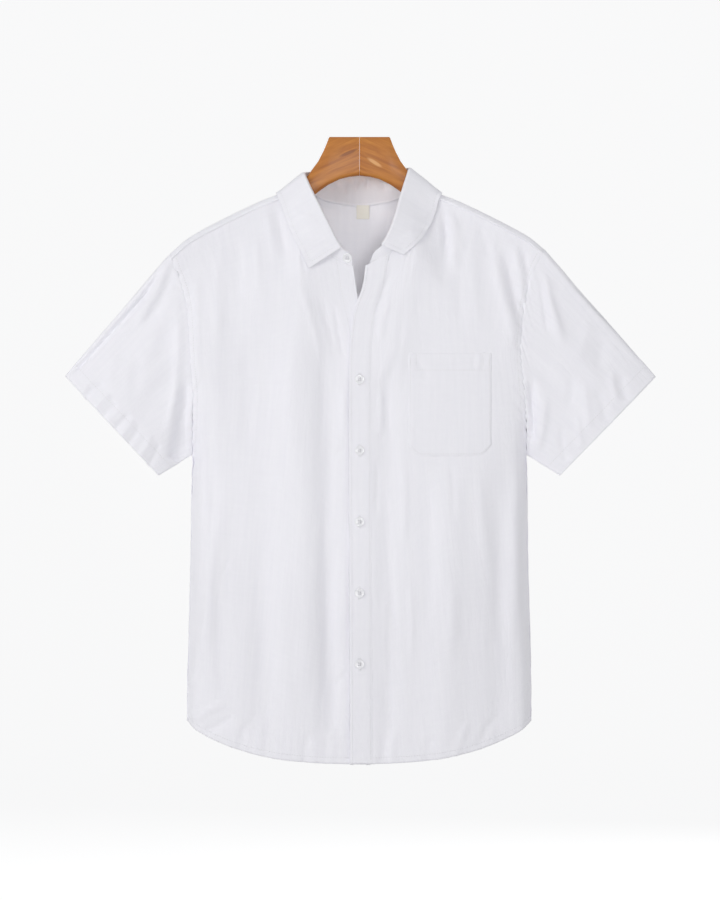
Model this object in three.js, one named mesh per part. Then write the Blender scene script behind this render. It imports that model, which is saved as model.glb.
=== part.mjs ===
// Short-sleeved linen camp shirt, hung on a two-piece wooden hanger.
//
// Millimetres, +Z up. +X runs to the wearer's left sleeve, and -Y is the front.
// The origin is the middle of the hanger's flat top, where a hook screws in.
//
// The body of the shirt is one surface, worked out by bodyPoint(x, over): x is the place
// across the shirt, and over is how far the cloth has run over the shoulder ridge, with
// minus for the front and plus for the back. Each panel is a patch of that surface,
// bounded by its own seams, and thickened into a wall.

import * as THREE from "three";

// Cloth and seams
const CLOTH = 1.2;
const SEAM_GAP = 0.4;
const CORNER_GAP = 0.85;
const LAYER_STEP = CLOTH + 0.45;

// The body, as it hangs
const RIDGE_RADIUS = 9;
const SHOULDER_SEAM = 10.8;
const UNDERARM_Z = -420;
const HEM_HALF_WIDTH = 227;
const NECK_REACH = { front: 62, back: 34 };
const SHOULDER_REACH = 130;
const ARM_SWEEP = 18;
const HANGER_HALF_SPAN = 222;

// Buttons, band and pocket
const BUTTON = { radius: 6.2, thickness: 2.4, edge: 0.6, hole: 1, holeRing: 1.9 };
const FRONT_BUTTONS = { count: 5, firstZ: -320.2, spacing: 93.5 };
const BAND_STEP = LAYER_STEP + 0.15;
const BAND = { width: 29, top: -172.5, topSlope: 0.22 };
const POCKET = { left: 64.4, right: 173.1, top: -286.2, bottom: -420.5, corner: 19 };
const LABEL = { centre: 4.6, width: 17, top: -88, height: 19, thickness: 0.8 };

// Height of the shoulder ridge, from the centre to past the sleeve's seam
const SHOULDER_RIDGE = [
  { x: 0, z: -48 },
  { x: 60, z: -50 },
  { x: 84, z: -61.4 },
  { x: 96, z: -69.4 },
  { x: 110, z: -77.4 },
  { x: 130, z: -84.6 },
  { x: 151, z: -94.8 },
  { x: 172, z: -105 },
  { x: 196, z: -117.6 },
  { x: 216, z: -128.4 },
  { x: 226, z: -135 },
  { x: 240, z: -146.8 },
  { x: 252, z: -158 },
];

// Height of the shirt-tail hem, from the centre to the side seams
const HEM_LINE = [
  { x: 0, z: -825.4 },
  { x: 50, z: -824 },
  { x: 98, z: -820.2 },
  { x: 128, z: -815 },
  { x: 164, z: -805 },
  { x: 190, z: -794.8 },
  { x: 210, z: -784.8 },
  { x: 223, z: -775.3 },
  { x: 229, z: -767 },
];

// Half width of the body: the armholes down to the underarm, then the side seams
const BODY_SIDES = [
  { z: -150, right: 250.5, left: 243 },
  { z: -165, right: 245.5, left: 235 },
  { z: -185, right: 238, left: 226 },
  { z: -207, right: 230.5, left: 220.5 },
  { z: -242, right: 225, left: 214.5 },
  { z: -280, right: 223, left: 212.5 },
  { z: -320, right: 220, left: 215 },
  { z: -350, right: 218.5, left: 217.5 },
  { z: -385, right: 219.6, left: 219.2 },
  { z: UNDERARM_Z, right: 220.4, left: 220.4 },
  { z: -560, right: 222.8, left: 222.4 },
  { z: -640, right: 224.8, left: 224.6 },
  { z: -720, right: 226.8, left: 226.4 },
  { z: -830, right: 227.4, left: 226.8 },
];

// Half depth of the armhole's edges, which closes to nothing at the underarm
const ARMHOLE_DEPTH = [
  { z: -140, depth: RIDGE_RADIUS },
  { z: -200, depth: 14 },
  { z: -280, depth: 21 },
  { z: -350, depth: 19 },
  { z: -400, depth: 8 },
  { z: UNDERARM_Z, depth: 0 },
  { z: -440, depth: 0 },
];

// Half depth down the middle of the body
const BODY_DEPTH = [
  { z: -48, front: 34, back: 31 },
  { z: -172, front: 36, back: 33 },
  { z: -300, front: 42, back: 35 },
  { z: -520, front: 43, back: 37 },
  { z: -700, front: 40, back: 37 },
  { z: -830, front: 37, back: 35 },
];

// Front edges: the wearer's left front laps over the right one below the open neck
const FRONT_EDGES = [
  { z: -171, right: -8.2, left: 8 },
  { z: -181, right: -6.8, left: 4.8 },
  { z: -202, right: -4, left: 3.6 },
  { z: -213, right: -2.4, left: -0.8 },
  { z: -229, right: 0.4, left: -6.6 },
  { z: -248, right: 4, left: -10.4 },
  { z: -278, right: 9.6, left: -13 },
  { z: -320, right: 13, left: -13.9 },
  { z: -640, right: 14, left: -12.8 },
  { z: -830, right: 14, left: -12 },
];

// Soft folds that hang in the cloth: where each starts and ends, its half width, and how
// far it stands out
const FOLDS = {
  front: [
    { fromX: -204, fromZ: -190, toX: -196, toZ: -800, width: 20, rise: 5 },
    { fromX: -166, fromZ: -110, toX: -158, toZ: -700, width: 22, rise: -4 },
    { fromX: -128, fromZ: -250, toX: -124, toZ: -860, width: 20, rise: -6 },
    { fromX: -112, fromZ: -70, toX: -98, toZ: -200, width: 9, rise: -6 },
    { fromX: -78, fromZ: -150, toX: -72, toZ: -800, width: 22, rise: 5 },
    { fromX: -42, fromZ: -280, toX: -40, toZ: -870, width: 13, rise: -5 },
    { fromX: 112, fromZ: -66, toX: 114, toZ: -190, width: 8, rise: -7 },
    { fromX: 74, fromZ: -150, toX: 36, toZ: -330, width: 20, rise: 4 },
    { fromX: 36, fromZ: -300, toX: 38, toZ: -860, width: 12, rise: -4 },
    { fromX: 176, fromZ: -112, toX: 208, toZ: -320, width: 10, rise: 6 },
    { fromX: 118, fromZ: -440, toX: 112, toZ: -870, width: 24, rise: 5 },
    { fromX: 190, fromZ: -420, toX: 186, toZ: -860, width: 18, rise: -5 },
  ],
  back: [
    { fromX: -186, fromZ: -170, toX: -180, toZ: -800, width: 20, rise: 5 },
    { fromX: -124, fromZ: -100, toX: -134, toZ: -860, width: 22, rise: -6 },
    { fromX: -66, fromZ: -160, toX: -72, toZ: -870, width: 24, rise: 7 },
    { fromX: -6, fromZ: -240, toX: 4, toZ: -870, width: 22, rise: -6 },
    { fromX: 58, fromZ: -150, toX: 66, toZ: -860, width: 23, rise: 6 },
    { fromX: 122, fromZ: -110, toX: 130, toZ: -870, width: 20, rise: -6 },
    { fromX: 182, fromZ: -180, toX: 178, toZ: -800, width: 19, rise: 5 },
  ],
};

// The collar, from each front end round to the middle of the back. seam is where the
// stand meets the body, fold is the stand's top, and edge is the outer edge of the leaf.
// Heights in front of the shoulder seam lie on the front, and the others on the back.
const COLLAR = {
  left: [
    { at: "edge", seamX: 8, seamZ: -171 },
    { at: "end", seamX: 12.6, seamZ: -170, foldX: 13.6, foldY: -38.6, foldZ: -167 },
    { at: "tab", seamX: 24, seamZ: -165.4, foldX: 19.6, foldY: -39, foldZ: -152.6 },
    { at: "leaf end", seamX: 38, seamZ: -157.5, foldX: 29.7, foldY: -42, foldZ: -144, edgeX: 57.4, edgeZ: -157 },
    { at: "throat", seamX: 60, seamZ: -133, foldX: 42, foldY: -40.5, foldZ: -121.5, edgeX: 80, edgeZ: -136.5 },
    { at: "rise", seamX: 76, seamZ: -101, foldX: 53.5, foldY: -29, foldZ: -84, edgeX: 96.5, edgeZ: -109 },
    { at: "front of the arm", seamX: 82.2, seamZ: -76, foldX: 62, foldY: -17.5, foldZ: -57, edgeX: 104, edgeZ: -85 },
    { at: "shoulder seam", seamX: 83.6, seamOver: -SHOULDER_SEAM, foldX: 65.6, foldY: -9.5, foldZ: -45, edgeX: 107, edgeZ: -77.5 },
    { at: "side", seamX: 83.4, seamOver: 2, foldX: 66, foldY: 2, foldZ: -42.6, edgeX: 107, edgeOver: 3 },
    { at: "back of the arm", seamX: 76, seamZ: -68.5, foldX: 57, foldY: 17, foldZ: -42.4, edgeX: 98, edgeZ: -83 },
    { at: "back quarter", seamX: 46, seamZ: -82.5, foldX: 34, foldY: 28, foldZ: -43.4, edgeX: 58, edgeZ: -93.5 },
  ],
  right: [
    { at: "edge", seamX: -8.2, seamZ: -171 },
    { at: "end", seamX: -9.6, seamZ: -171, foldX: -8.6, foldY: -36, foldZ: -165.5 },
    { at: "tab", seamX: -19, seamZ: -168, foldX: -13.6, foldY: -36.6, foldZ: -152.6 },
    { at: "leaf end", seamX: -33, seamZ: -161, foldX: -24.4, foldY: -41.5, foldZ: -147.5, edgeX: -66.4, edgeZ: -174.6 },
    { at: "throat", seamX: -57, seamZ: -139, foldX: -38.6, foldY: -40, foldZ: -122, edgeX: -79, edgeZ: -148 },
    { at: "rise", seamX: -75, seamZ: -105, foldX: -52.6, foldY: -29.5, foldZ: -94, edgeX: -94, edgeZ: -116 },
    { at: "front of the arm", seamX: -82.2, seamZ: -77, foldX: -66.4, foldY: -18, foldZ: -66, edgeX: -102.5, edgeZ: -91 },
    { at: "shoulder seam", seamX: -83.6, seamOver: -SHOULDER_SEAM, foldX: -72.8, foldY: -9.5, foldZ: -50.8, edgeX: -107.5, edgeZ: -79 },
    { at: "side", seamX: -83.4, seamOver: 2, foldX: -73, foldY: 2, foldZ: -48.6, edgeX: -107.5, edgeOver: 3 },
    { at: "back of the arm", seamX: -76, seamZ: -68.5, foldX: -62, foldY: 17, foldZ: -46.6, edgeX: -99, edgeZ: -83 },
    { at: "back quarter", seamX: -46, seamZ: -82.5, foldX: -36, foldY: 28, foldZ: -43.8, edgeX: -58, edgeZ: -93.5 },
  ],
  back: { at: "back", seamX: 0, seamZ: -90, foldX: 0, foldY: 31, foldZ: -45, edgeX: 0, edgeZ: -97 },
};
const SHOULDER_SEAM_ROW = 7;
const LEAF_END_ROW = 3;
const COLLAR_STEPS = 2;

// The leaf's section, from the fold over the stand's top to its outer edge: the share of
// the way down, the height over the fold, and how far it stands out
const LEAF_ROLL = [
  { down: 0, up: 1.7, out: -0.3 },
  { down: 0, up: 0.9, out: 1.7 },
  { down: 0.1, up: 0, out: 2.3 },
  { down: 0.28, up: 0, out: 2.5 },
  { down: 0.46, up: 0, out: 2.6 },
  { down: 0.64, up: 0, out: 2.5 },
  { down: 0.82, up: 0, out: 2.4 },
  { down: 1, up: 0, out: 2.3 },
];
const LEAF_CLEAR = LAYER_STEP + 1.45;

// The sleeves' hem lines, from the top fold to the underarm seam
const SLEEVE_HEMS = {
  right: { topX: -387.5, topZ: -315.5, lowX: -264.5, lowZ: -446 },
  left: { topX: 390, topZ: -316.5, lowX: 264, lowZ: -446 },
};
const SLEEVE_HEM_DEPTH = 17;
const SLEEVE_HEM_Y = -20;
const SLEEVE_STEPS = 8;
const SLEEVE_GAP = 0.6;
const UNDERARM_GAP = 0.9;

// Soft folds in the sleeves: the share of the way round from the top fold, to the front
// if plus and to the back if minus, at the armhole and at the hem
const SLEEVE_FOLDS = [
  { atArmhole: 0.2, atHem: 0.36, width: 0.07, rise: 4 },
  { atArmhole: 0.5, atHem: 0.62, width: 0.09, rise: -4 },
  { atArmhole: 0.8, atHem: 0.86, width: 0.08, rise: 3 },
  { atArmhole: -0.25, atHem: -0.4, width: 0.09, rise: 4 },
  { atArmhole: -0.6, atHem: -0.66, width: 0.1, rise: -4 },
];

// The hanger's arm, from its middle to its tip: top and bottom, and how round its top is
const HANGER_ARM = [
  { x: 0, top: 0, bottom: -51, round: 0.2 },
  { x: 14, top: 0, bottom: -52.5, round: 0.2 },
  { x: 26, top: 0, bottom: -55.5, round: 0.2 },
  { x: 39.4, top: 0, bottom: -62, round: 0.2 },
  { x: 40.6, top: -1.6, bottom: -62.7, round: 0.2 },
  { x: 43.6, top: -9.6, bottom: -64.6, round: 0.22 },
  { x: 47.6, top: -18.8, bottom: -67.4, round: 0.25 },
  { x: 54.4, top: -32, bottom: -72.4, round: 0.4 },
  { x: 61.6, top: -41.6, bottom: -78, round: 0.6 },
  { x: 72, top: -56, bottom: -85.2, round: 0.85 },
  { x: 84, top: -70.6, bottom: -92.4, round: 1 },
  { x: 96, top: -75.4, bottom: -98.6, round: 1 },
  { x: 110, bottom: -104.8, round: 1 },
  { x: 130, bottom: -112.4, round: 1 },
  { x: 151, bottom: -120.4, round: 1 },
  { x: 172, bottom: -128.6, round: 1 },
  { x: 196, bottom: -137.4, round: 1 },
  { x: 212, bottom: -142.8, round: 1 },
  { x: 219, bottom: -143.2, round: 1 },
];
const HANGER_HALF_THICKNESS = 6.7;
const HANGER_CLEAR = 3.5;
const HANGER_TIP = { x: 221.4, top: -137.4, bottom: -141.8 };

// How many cells each panel has
const SHOULDER_CELLS = 8;
const ARMHOLE_CELLS = 13;
const SIDE_CELLS = 11;
const RIDGE_CELLS = 4;
const ARMHOLE_SPREAD = 1.2;
const POCKET_CELLS = { across: 8, down: 9 };

// Small helpers

function smooth(t) {
  const s = Math.min(1, Math.max(0, t));
  return s * s * (3 - 2 * s);
}

function mix(a, b, t) {
  return a + (b - a) * t;
}

// A smooth curve through one column of a table, read at a place in another column.
function readTable(rows, key, value, at) {
  const rising = rows[1][key] > rows[0][key] ? 1 : -1;
  const last = rows.length - 1;
  const clamped = rising * Math.min(rising * rows[last][key], Math.max(rising * rows[0][key], rising * at));
  let i = 0;
  while (i < last - 1 && rising * clamped > rising * rows[i + 1][key]) i += 1;
  const slope = (k) => {
    if (k <= 0 || k >= last) return (rows[Math.min(last, k + 1)][value] - rows[Math.max(0, k - 1)][value]) /
      (rows[Math.min(last, k + 1)][key] - rows[Math.max(0, k - 1)][key]);
    const before = (rows[k][value] - rows[k - 1][value]) / (rows[k][key] - rows[k - 1][key]);
    const after = (rows[k + 1][value] - rows[k][value]) / (rows[k + 1][key] - rows[k][key]);
    return before * after <= 0 ? 0 : (2 * before * after) / (before + after);
  };
  const span = rows[i + 1][key] - rows[i][key];
  const t = (clamped - rows[i][key]) / span;
  const t2 = t * t;
  const t3 = t2 * t;
  return (2 * t3 - 3 * t2 + 1) * rows[i][value] + (t3 - 2 * t2 + t) * span * slope(i) +
    (-2 * t3 + 3 * t2) * rows[i + 1][value] + (t3 - t2) * span * slope(i + 1);
}

// A wall from a grid of points on its middle surface. Its normals come from the grid, or
// from normalAt(i, j) where that gives one. around says that the last grid[i] joins the
// first.
function wall(grid, { thickness = CLOTH, around = false, normalAt = () => null } = {}) {
  const rows = grid.length;
  const columns = grid[0].length;
  const row = (i) => grid[around ? (i + rows) % rows : Math.min(rows - 1, Math.max(0, i))];
  const positions = [];
  for (const half of [thickness / 2, -thickness / 2]) {
    for (let i = 0; i < rows; i += 1) {
      for (let j = 0; j < columns; j += 1) {
        const along = row(i + 1)[j].clone().sub(row(i - 1)[j]);
        const across = grid[i][Math.min(columns - 1, j + 1)].clone().sub(grid[i][Math.max(0, j - 1)]);
        const normal = along.cross(across).normalize();
        const given = normalAt(i, j);
        const side = given && given.dot(normal) < 0 ? -1 : 1;
        if (given) normal.copy(given).multiplyScalar(side);
        const point = grid[i][j].clone().addScaledVector(normal, half);
        positions.push(point.x, point.y, point.z);
      }
    }
  }
  const inner = rows * columns;
  const index = [];
  const quad = (a, b, c, d) => index.push(a, b, c, a, c, d);
  const at = (i, j) => (i % rows) * columns + j;
  const cells = around ? rows : rows - 1;
  for (let i = 0; i < cells; i += 1) {
    for (let j = 0; j < columns - 1; j += 1) {
      quad(at(i, j), at(i + 1, j), at(i + 1, j + 1), at(i, j + 1));
      quad(inner + at(i, j), inner + at(i, j + 1), inner + at(i + 1, j + 1), inner + at(i + 1, j));
    }
    quad(at(i, 0), inner + at(i, 0), inner + at(i + 1, 0), at(i + 1, 0));
    quad(at(i, columns - 1), at(i + 1, columns - 1), inner + at(i + 1, columns - 1), inner + at(i, columns - 1));
  }
  if (!around) {
    for (let j = 0; j < columns - 1; j += 1) {
      quad(at(0, j), at(0, j + 1), inner + at(0, j + 1), inner + at(0, j));
      quad(at(rows - 1, j), inner + at(rows - 1, j), inner + at(rows - 1, j + 1), at(rows - 1, j + 1));
    }
  }
  const geometry = new THREE.BufferGeometry();
  geometry.setAttribute("position", new THREE.Float32BufferAttribute(positions, 3));
  geometry.setIndex(index);
  return geometry;
}

// The body's surface

function ridgeZ(x) {
  return readTable(SHOULDER_RIDGE, "x", "z", Math.abs(x));
}

function sideX(z, x) {
  return readTable(BODY_SIDES, "z", x < 0 ? "right" : "left", z);
}

function hemZ(x) {
  return readTable(HEM_LINE, "x", "z", Math.abs(x));
}

// The middle of the shirt's thickness follows the hanger's swept arms, less so lower down.
function middleY(x, z) {
  const fade = 1 - 0.7 * smooth((-z - 160) / 380);
  return -ARM_SWEEP * (x / HANGER_HALF_SPAN) ** 2 * fade;
}

function foldRise(face, x, z) {
  let rise = 0;
  for (const fold of FOLDS[face]) {
    const t = (z - fold.fromZ) / (fold.toZ - fold.fromZ);
    if (t <= 0 || t >= 1) continue;
    const off = (x - mix(fold.fromX, fold.toX, t)) / fold.width;
    rise += fold.rise * Math.exp(-off * off) * Math.min(1, 3.2 * Math.sqrt(t) * smooth((1 - t) * 2.4));
  }
  return rise;
}

// How far the front or back stands off the middle, at a drop below the shoulder ridge.
function halfDepth(face, x, z) {
  const drop = ridgeZ(x) - z;
  if (drop < RIDGE_RADIUS) {
    const rest = 1 - drop / RIDGE_RADIUS;
    return RIDGE_RADIUS * Math.sqrt(Math.max(0, 1 - rest * rest));
  }
  const q = Math.min(1, Math.abs(x) / sideX(z, x));
  const edge = readTable(ARMHOLE_DEPTH, "z", "depth", z);
  const centre = readTable(BODY_DEPTH, "z", face, z);
  const roundness = 1 - 0.5 * smooth((-z - 330) / 90);
  const flat = edge + (centre - edge) * (1 - q ** 3) ** roundness;
  const reach = mix(NECK_REACH[face], SHOULDER_REACH, smooth((Math.abs(x) - 50) / 60));
  const fall = smooth((drop - RIDGE_RADIUS) / reach);
  const fold = foldRise(face, x, z) * (1 - q ** 8) * fall;
  return RIDGE_RADIUS + (flat - RIDGE_RADIUS) * fall + fold;
}

function dropAt(over) {
  const run = Math.abs(over);
  const quarter = (RIDGE_RADIUS * Math.PI) / 2;
  return run < quarter ? RIDGE_RADIUS * (1 - Math.cos(run / RIDGE_RADIUS)) : RIDGE_RADIUS + run - quarter;
}

function overAt(x, z) {
  const drop = Math.max(0, ridgeZ(x) - z);
  const quarter = (RIDGE_RADIUS * Math.PI) / 2;
  return drop < RIDGE_RADIUS ? RIDGE_RADIUS * Math.acos(1 - drop / RIDGE_RADIUS) : quarter + drop - RIDGE_RADIUS;
}

function bodyPoint(x, over, proud = 0) {
  const z = ridgeZ(x) - dropAt(over);
  const face = over < 0 ? "front" : "back";
  const away = Math.sign(over) * (halfDepth(face, x, z) + proud);
  const parting = (SEAM_GAP / 2) * Math.min(1, Math.max(-1, over / RIDGE_RADIUS));
  return new THREE.Vector3(x, middleY(x, z) + away + parting, z);
}

function bodyNormal(x, over) {
  const h = 0.1;
  const point = bodyPoint(x, over);
  const across = bodyPoint(x > 0 ? x - h : x + h, over).sub(point);
  const down = bodyPoint(x, over + h).sub(point);
  const normal = across.cross(down).normalize();
  const outward = new THREE.Vector3(Math.sign(x), Math.sign(over) * 4, 1);
  return normal.dot(outward) < 0 ? normal.negate() : normal;
}

// A wall over the body's surface, from a grid of places on it, moved out by a step.
function bodyWall(places, { step = 0, lapSide = null, thickness = CLOTH } = {}) {
  const normals = places.map((column) => column.map(([x, over]) => bodyNormal(x, over)));
  const grid = places.map((column, i) => column.map(([x, over], j) => {
    const point = bodyPoint(x, over, lapSide ? lap(lapSide, x) : 0);
    return point.addScaledVector(normals[i][j], step);
  }));
  return wall(grid, { thickness, normalAt: (i, j) => normals[i][j] });
}

// Panels: a patch between four boundaries, in x and over

function patch(top, bottom, start, end, acrossCells, downCells) {
  const grid = [];
  const corner = { ts: top(0), te: top(1), bs: bottom(0), be: bottom(1) };
  for (const u of acrossCells) {
    const column = [];
    for (const v of downCells) {
      const blend = (k) => (1 - v) * top(u)[k] + v * bottom(u)[k] + (1 - u) * start(v)[k] + u * end(v)[k] -
        ((1 - u) * (1 - v) * corner.ts[k] + u * (1 - v) * corner.te[k] + (1 - u) * v * corner.bs[k] + u * v * corner.be[k]);
      column.push([blend(0), blend(1)]);
    }
    grid.push(column);
  }
  return grid;
}

function steps(count) {
  return Array.from({ length: count + 1 }, (_, i) => i / count);
}

// One side of the collar's table as points, with the back's middle row at its end.
function collarRows(side) {
  return [...COLLAR[side], COLLAR.back].map((row, i) => {
    const sign = i <= SHOULDER_SEAM_ROW ? -1 : 1;
    return { ...row, seamOver: row.seamOver ?? sign * overAt(row.seamX, row.seamZ) };
  });
}

function splineThrough(points) {
  const curve = new THREE.CatmullRomCurve3(points, false, "centripetal");
  return (row) => curve.getPoint(row / (points.length - 1));
}

// The neck seam in x and over, by row of the collar's table.
function neckSeam(side) {
  const rows = collarRows(side);
  return splineThrough(rows.map((row) => new THREE.Vector3(row.seamX, row.seamOver, 0)));
}

// Row numbers along the neck seam, from one row of the table to another.
function neckStops(from, to) {
  return steps((to - from) * COLLAR_STEPS).map((t) => mix(from, to, t));
}

// The armhole, from the shoulder seam to the underarm, then the side seam to the hem.
function sideStops(face, side) {
  const sign = side === "left" ? 1 : -1;
  const start = face === "front" ? SHOULDER_SEAM + SEAM_GAP / 2 : SHOULDER_SEAM - SEAM_GAP / 2;
  const startOver = face === "front" ? -start : -start;
  const direction = face === "front" ? -1 : 1;
  const xAt = (over) => {
    let x = 230;
    for (let pass = 0; pass < 6; pass += 1) x = sideX(ridgeZ(x) - dropAt(over), sign);
    return sign * x;
  };
  const underarm = direction * overAt(sideX(UNDERARM_Z, sign), UNDERARM_Z);
  const hem = direction * overAt(HEM_HALF_WIDTH, hemZ(HEM_HALF_WIDTH));
  const stops = [];
  if (face === "back") {
    for (const t of steps(RIDGE_CELLS).slice(0, -1)) stops.push(mix(startOver, 18, t));
    for (const t of steps(ARMHOLE_CELLS - 1).slice(0, -1)) stops.push(mix(18, underarm, t ** ARMHOLE_SPREAD));
  } else {
    for (const t of steps(ARMHOLE_CELLS).slice(0, -1)) stops.push(mix(startOver, underarm, t ** ARMHOLE_SPREAD));
  }
  const turn = stops.length;
  for (const t of steps(SIDE_CELLS)) stops.push(mix(underarm, hem, t));
  return { turn, points: stops.map((over) => [xAt(over), over]) };
}

function alongStops(points) {
  return (t) => {
    const place = t * (points.length - 1);
    const i = Math.min(points.length - 2, Math.floor(place));
    return [mix(points[i][0], points[i + 1][0], place - i), mix(points[i][1], points[i + 1][1], place - i)];
  };
}

// The laps stand apart in depth where the fronts cross: the wearer's left one outside.
function lap(side, x) {
  const near = 1 - smooth((Math.abs(x) - 18) / 34);
  return (side === "left" ? 1 : -1) * 0.5 * LAYER_STEP * 1.15 * near;
}

function makeFront(side) {
  const seam = neckSeam(side);
  const sign = side === "left" ? 1 : -1;
  const neck = neckStops(0, SHOULDER_SEAM_ROW).map((row) => {
    const point = seam(row);
    return [point.x, point.y];
  });
  const neckPoint = neck[neck.length - 1];
  neckPoint[1] = -(SHOULDER_SEAM + SEAM_GAP / 2);
  const sides = sideStops("front", side);
  const shoulderX = sides.points[0][0];
  const shoulder = steps(SHOULDER_CELLS).slice(1).map((t) => [mix(neckPoint[0], shoulderX, t), neckPoint[1]]);
  const top = alongStops([...neck, ...shoulder]);
  const columns = neck.length + shoulder.length - 1;
  const rows = sides.points.length - 1;
  const edgeTop = neck[0];
  const edge = (v) => {
    const over = mix(edgeTop[1], -overAt(0, hemZ(0)), v);
    const z = ridgeZ(0) - dropAt(over);
    return v === 0 ? edgeTop : [readTable(FRONT_EDGES, "z", side, z), over];
  };
  const hem = (u) => {
    const x = mix(edge(1)[0], sides.points[rows][0], u);
    return [x, -overAt(x, hemZ(x))];
  };
  const places = patch(top, hem, edge, alongStops(sides.points), steps(columns), steps(rows));
  return bodyWall(sign > 0 ? places : places.reverse(), { lapSide: side });
}

function makeBack() {
  const left = sideStops("back", "left");
  const right = sideStops("back", "right");
  const half = (side, sides) => {
    const seam = neckSeam(side);
    const last = COLLAR[side].length;
    const neck = neckStops(SHOULDER_SEAM_ROW, last).map((row) => {
      const point = seam(row);
      return [point.x, point.y];
    });
    const start = sides.points[0];
    neck[0][1] = start[1];
    const shoulder = steps(SHOULDER_CELLS).slice(1).reverse().map((t) => [mix(neck[0][0], start[0], t), start[1]]);
    return [...shoulder, ...neck];
  };
  const leftTop = half("left", left);
  const rightTop = half("right", right);
  const topPoints = [...rightTop, ...leftTop.reverse().slice(1)];
  const rows = left.points.length - 1;
  const hem = (u) => {
    const x = mix(right.points[rows][0], left.points[rows][0], u);
    return [x, overAt(x, hemZ(x))];
  };
  const places = patch(
    alongStops(topPoints), hem, alongStops(right.points), alongStops(left.points),
    steps(topPoints.length - 1), steps(rows),
  );
  return bodyWall(places.reverse());
}

// Sleeves: rings from the armhole's own points to the hem

// The body's armhole as a ring, from the underarm up the back and down the front.
function armholeRing(side) {
  const sign = side === "left" ? 1 : -1;
  const run = (face) => {
    const sides = sideStops(face, side);
    return sides.points.slice(0, sides.turn + 1).map(([x, over]) => {
      const z = ridgeZ(x) - dropAt(over);
      const clear = sign * (SLEEVE_GAP + UNDERARM_GAP * smooth((-z - 340) / 70));
      return { point: bodyPoint(x, over).add(new THREE.Vector3(clear, 0, 0)), normal: bodyNormal(x, over) };
    });
  };
  const front = run("front");
  const back = run("back");
  const underarm = front.pop().point.add(back.pop().point).multiplyScalar(0.5);
  return [...back.reverse(), ...front.slice(1), { point: underarm, normal: null }];
}

// Each point's share of the way from the ring's top to the underarm: plus for the front.
function ringShares(ring) {
  const next = (i) => ring[(i + 1) % ring.length].point;
  const runs = ring.map(({ point }, i) => point.distanceTo(next(i)));
  const top = ring.reduce((best, { point }, i) => (point.z > ring[best].point.z ? i : best), 0);
  const length = (from, to) => runs.slice(from, to).reduce((sum, run) => sum + run, 0);
  const frontLength = length(top, ring.length - 1);
  const backLength = length(0, top) + runs[ring.length - 1];
  return ring.map((_, i) => (i < top ? -length(i, top) / backLength : length(top, i) / frontLength));
}

function sleeveFoldRise(share, s) {
  let rise = 0;
  for (const fold of SLEEVE_FOLDS) {
    const off = (share - mix(fold.atArmhole, fold.atHem, s)) / fold.width;
    rise += fold.rise * Math.exp(-off * off) * Math.sin(Math.PI * Math.min(1, s * 1.25)) ** 0.7;
  }
  return rise * Math.sin(Math.PI * Math.abs(share));
}

function makeSleeve(side) {
  const hem = SLEEVE_HEMS[side];
  const ring = armholeRing(side);
  const shares = ringShares(ring);
  const grid = ring.map(({ point }, i) => {
    const f = Math.abs(shares[i]);
    const away = -Math.sign(shares[i]);
    const hemY = SLEEVE_HEM_Y + away * SLEEVE_HEM_DEPTH * Math.sin(Math.PI * f) ** 0.75;
    const end = new THREE.Vector3(mix(hem.topX, hem.lowX, f), hemY, mix(hem.topZ, hem.lowZ, f));
    return steps(SLEEVE_STEPS).map((s) => {
      const place = point.clone().lerp(end, s);
      place.y += away * sleeveFoldRise(shares[i], s);
      return place;
    });
  });
  return wall(grid, { around: true, normalAt: (i, j) => (j === 0 ? ring[i].normal : null) });
}

// Collar

// Moves a point outwards until it clears the body's surface by a distance.
function clearOfBody(point, clear) {
  const place = point.clone();
  for (let pass = 0; pass < 4; pass += 1) {
    const off = place.y - middleY(place.x, place.z);
    const up = place.z - ridgeZ(place.x) + RIDGE_RADIUS;
    const run = up > 0 ? RIDGE_RADIUS * Math.atan2(Math.abs(off), up) : overAt(place.x, place.z);
    const over = Math.sign(off) * run;
    const normal = bodyNormal(place.x, over);
    const away = place.clone().sub(bodyPoint(place.x, over)).dot(normal);
    if (away < clear) place.addScaledVector(normal, clear - away);
  }
  return place;
}

// Seam, fold and edge of the whole collar, as lists of points from right to left.
function collarLines(fromRow) {
  const half = (side) => {
    const rows = collarRows(side);
    const seam = neckSeam(side);
    const shaped = rows.slice(1);
    const fold = splineThrough(shaped.map((row) => new THREE.Vector3(row.foldX, row.foldY, row.foldZ)));
    const leafed = rows.slice(LEAF_END_ROW);
    const edge = splineThrough(leafed.map((row, i) => {
      if (row.edgeOver !== undefined) return bodyPoint(row.edgeX, row.edgeOver);
      const face = i + LEAF_END_ROW <= SHOULDER_SEAM_ROW ? -1 : 1;
      return bodyPoint(row.edgeX, face * overAt(row.edgeX, row.edgeZ));
    }));
    return neckStops(fromRow, rows.length - 1).map((row) => {
      const flat = seam(row);
      return {
        seam: bodyPoint(flat.x, flat.y, flat.y < -2 * RIDGE_RADIUS ? lap(side, flat.x) : 0),
        fold: fold(row - 1),
        edge: fromRow >= LEAF_END_ROW ? edge(row - LEAF_END_ROW) : null,
      };
    });
  };
  const right = half("right");
  const left = half("left");
  return [...right, ...left.reverse().slice(1)];
}

function makeStand() {
  return wall(collarLines(1).map(({ seam, fold }) => {
    const up = fold.clone().sub(seam);
    const start = Math.min(0.45, CORNER_GAP / up.length());
    return [start, mix(start, 1, 0.5), 1].map((t) => seam.clone().addScaledVector(up, t));
  }));
}

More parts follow.
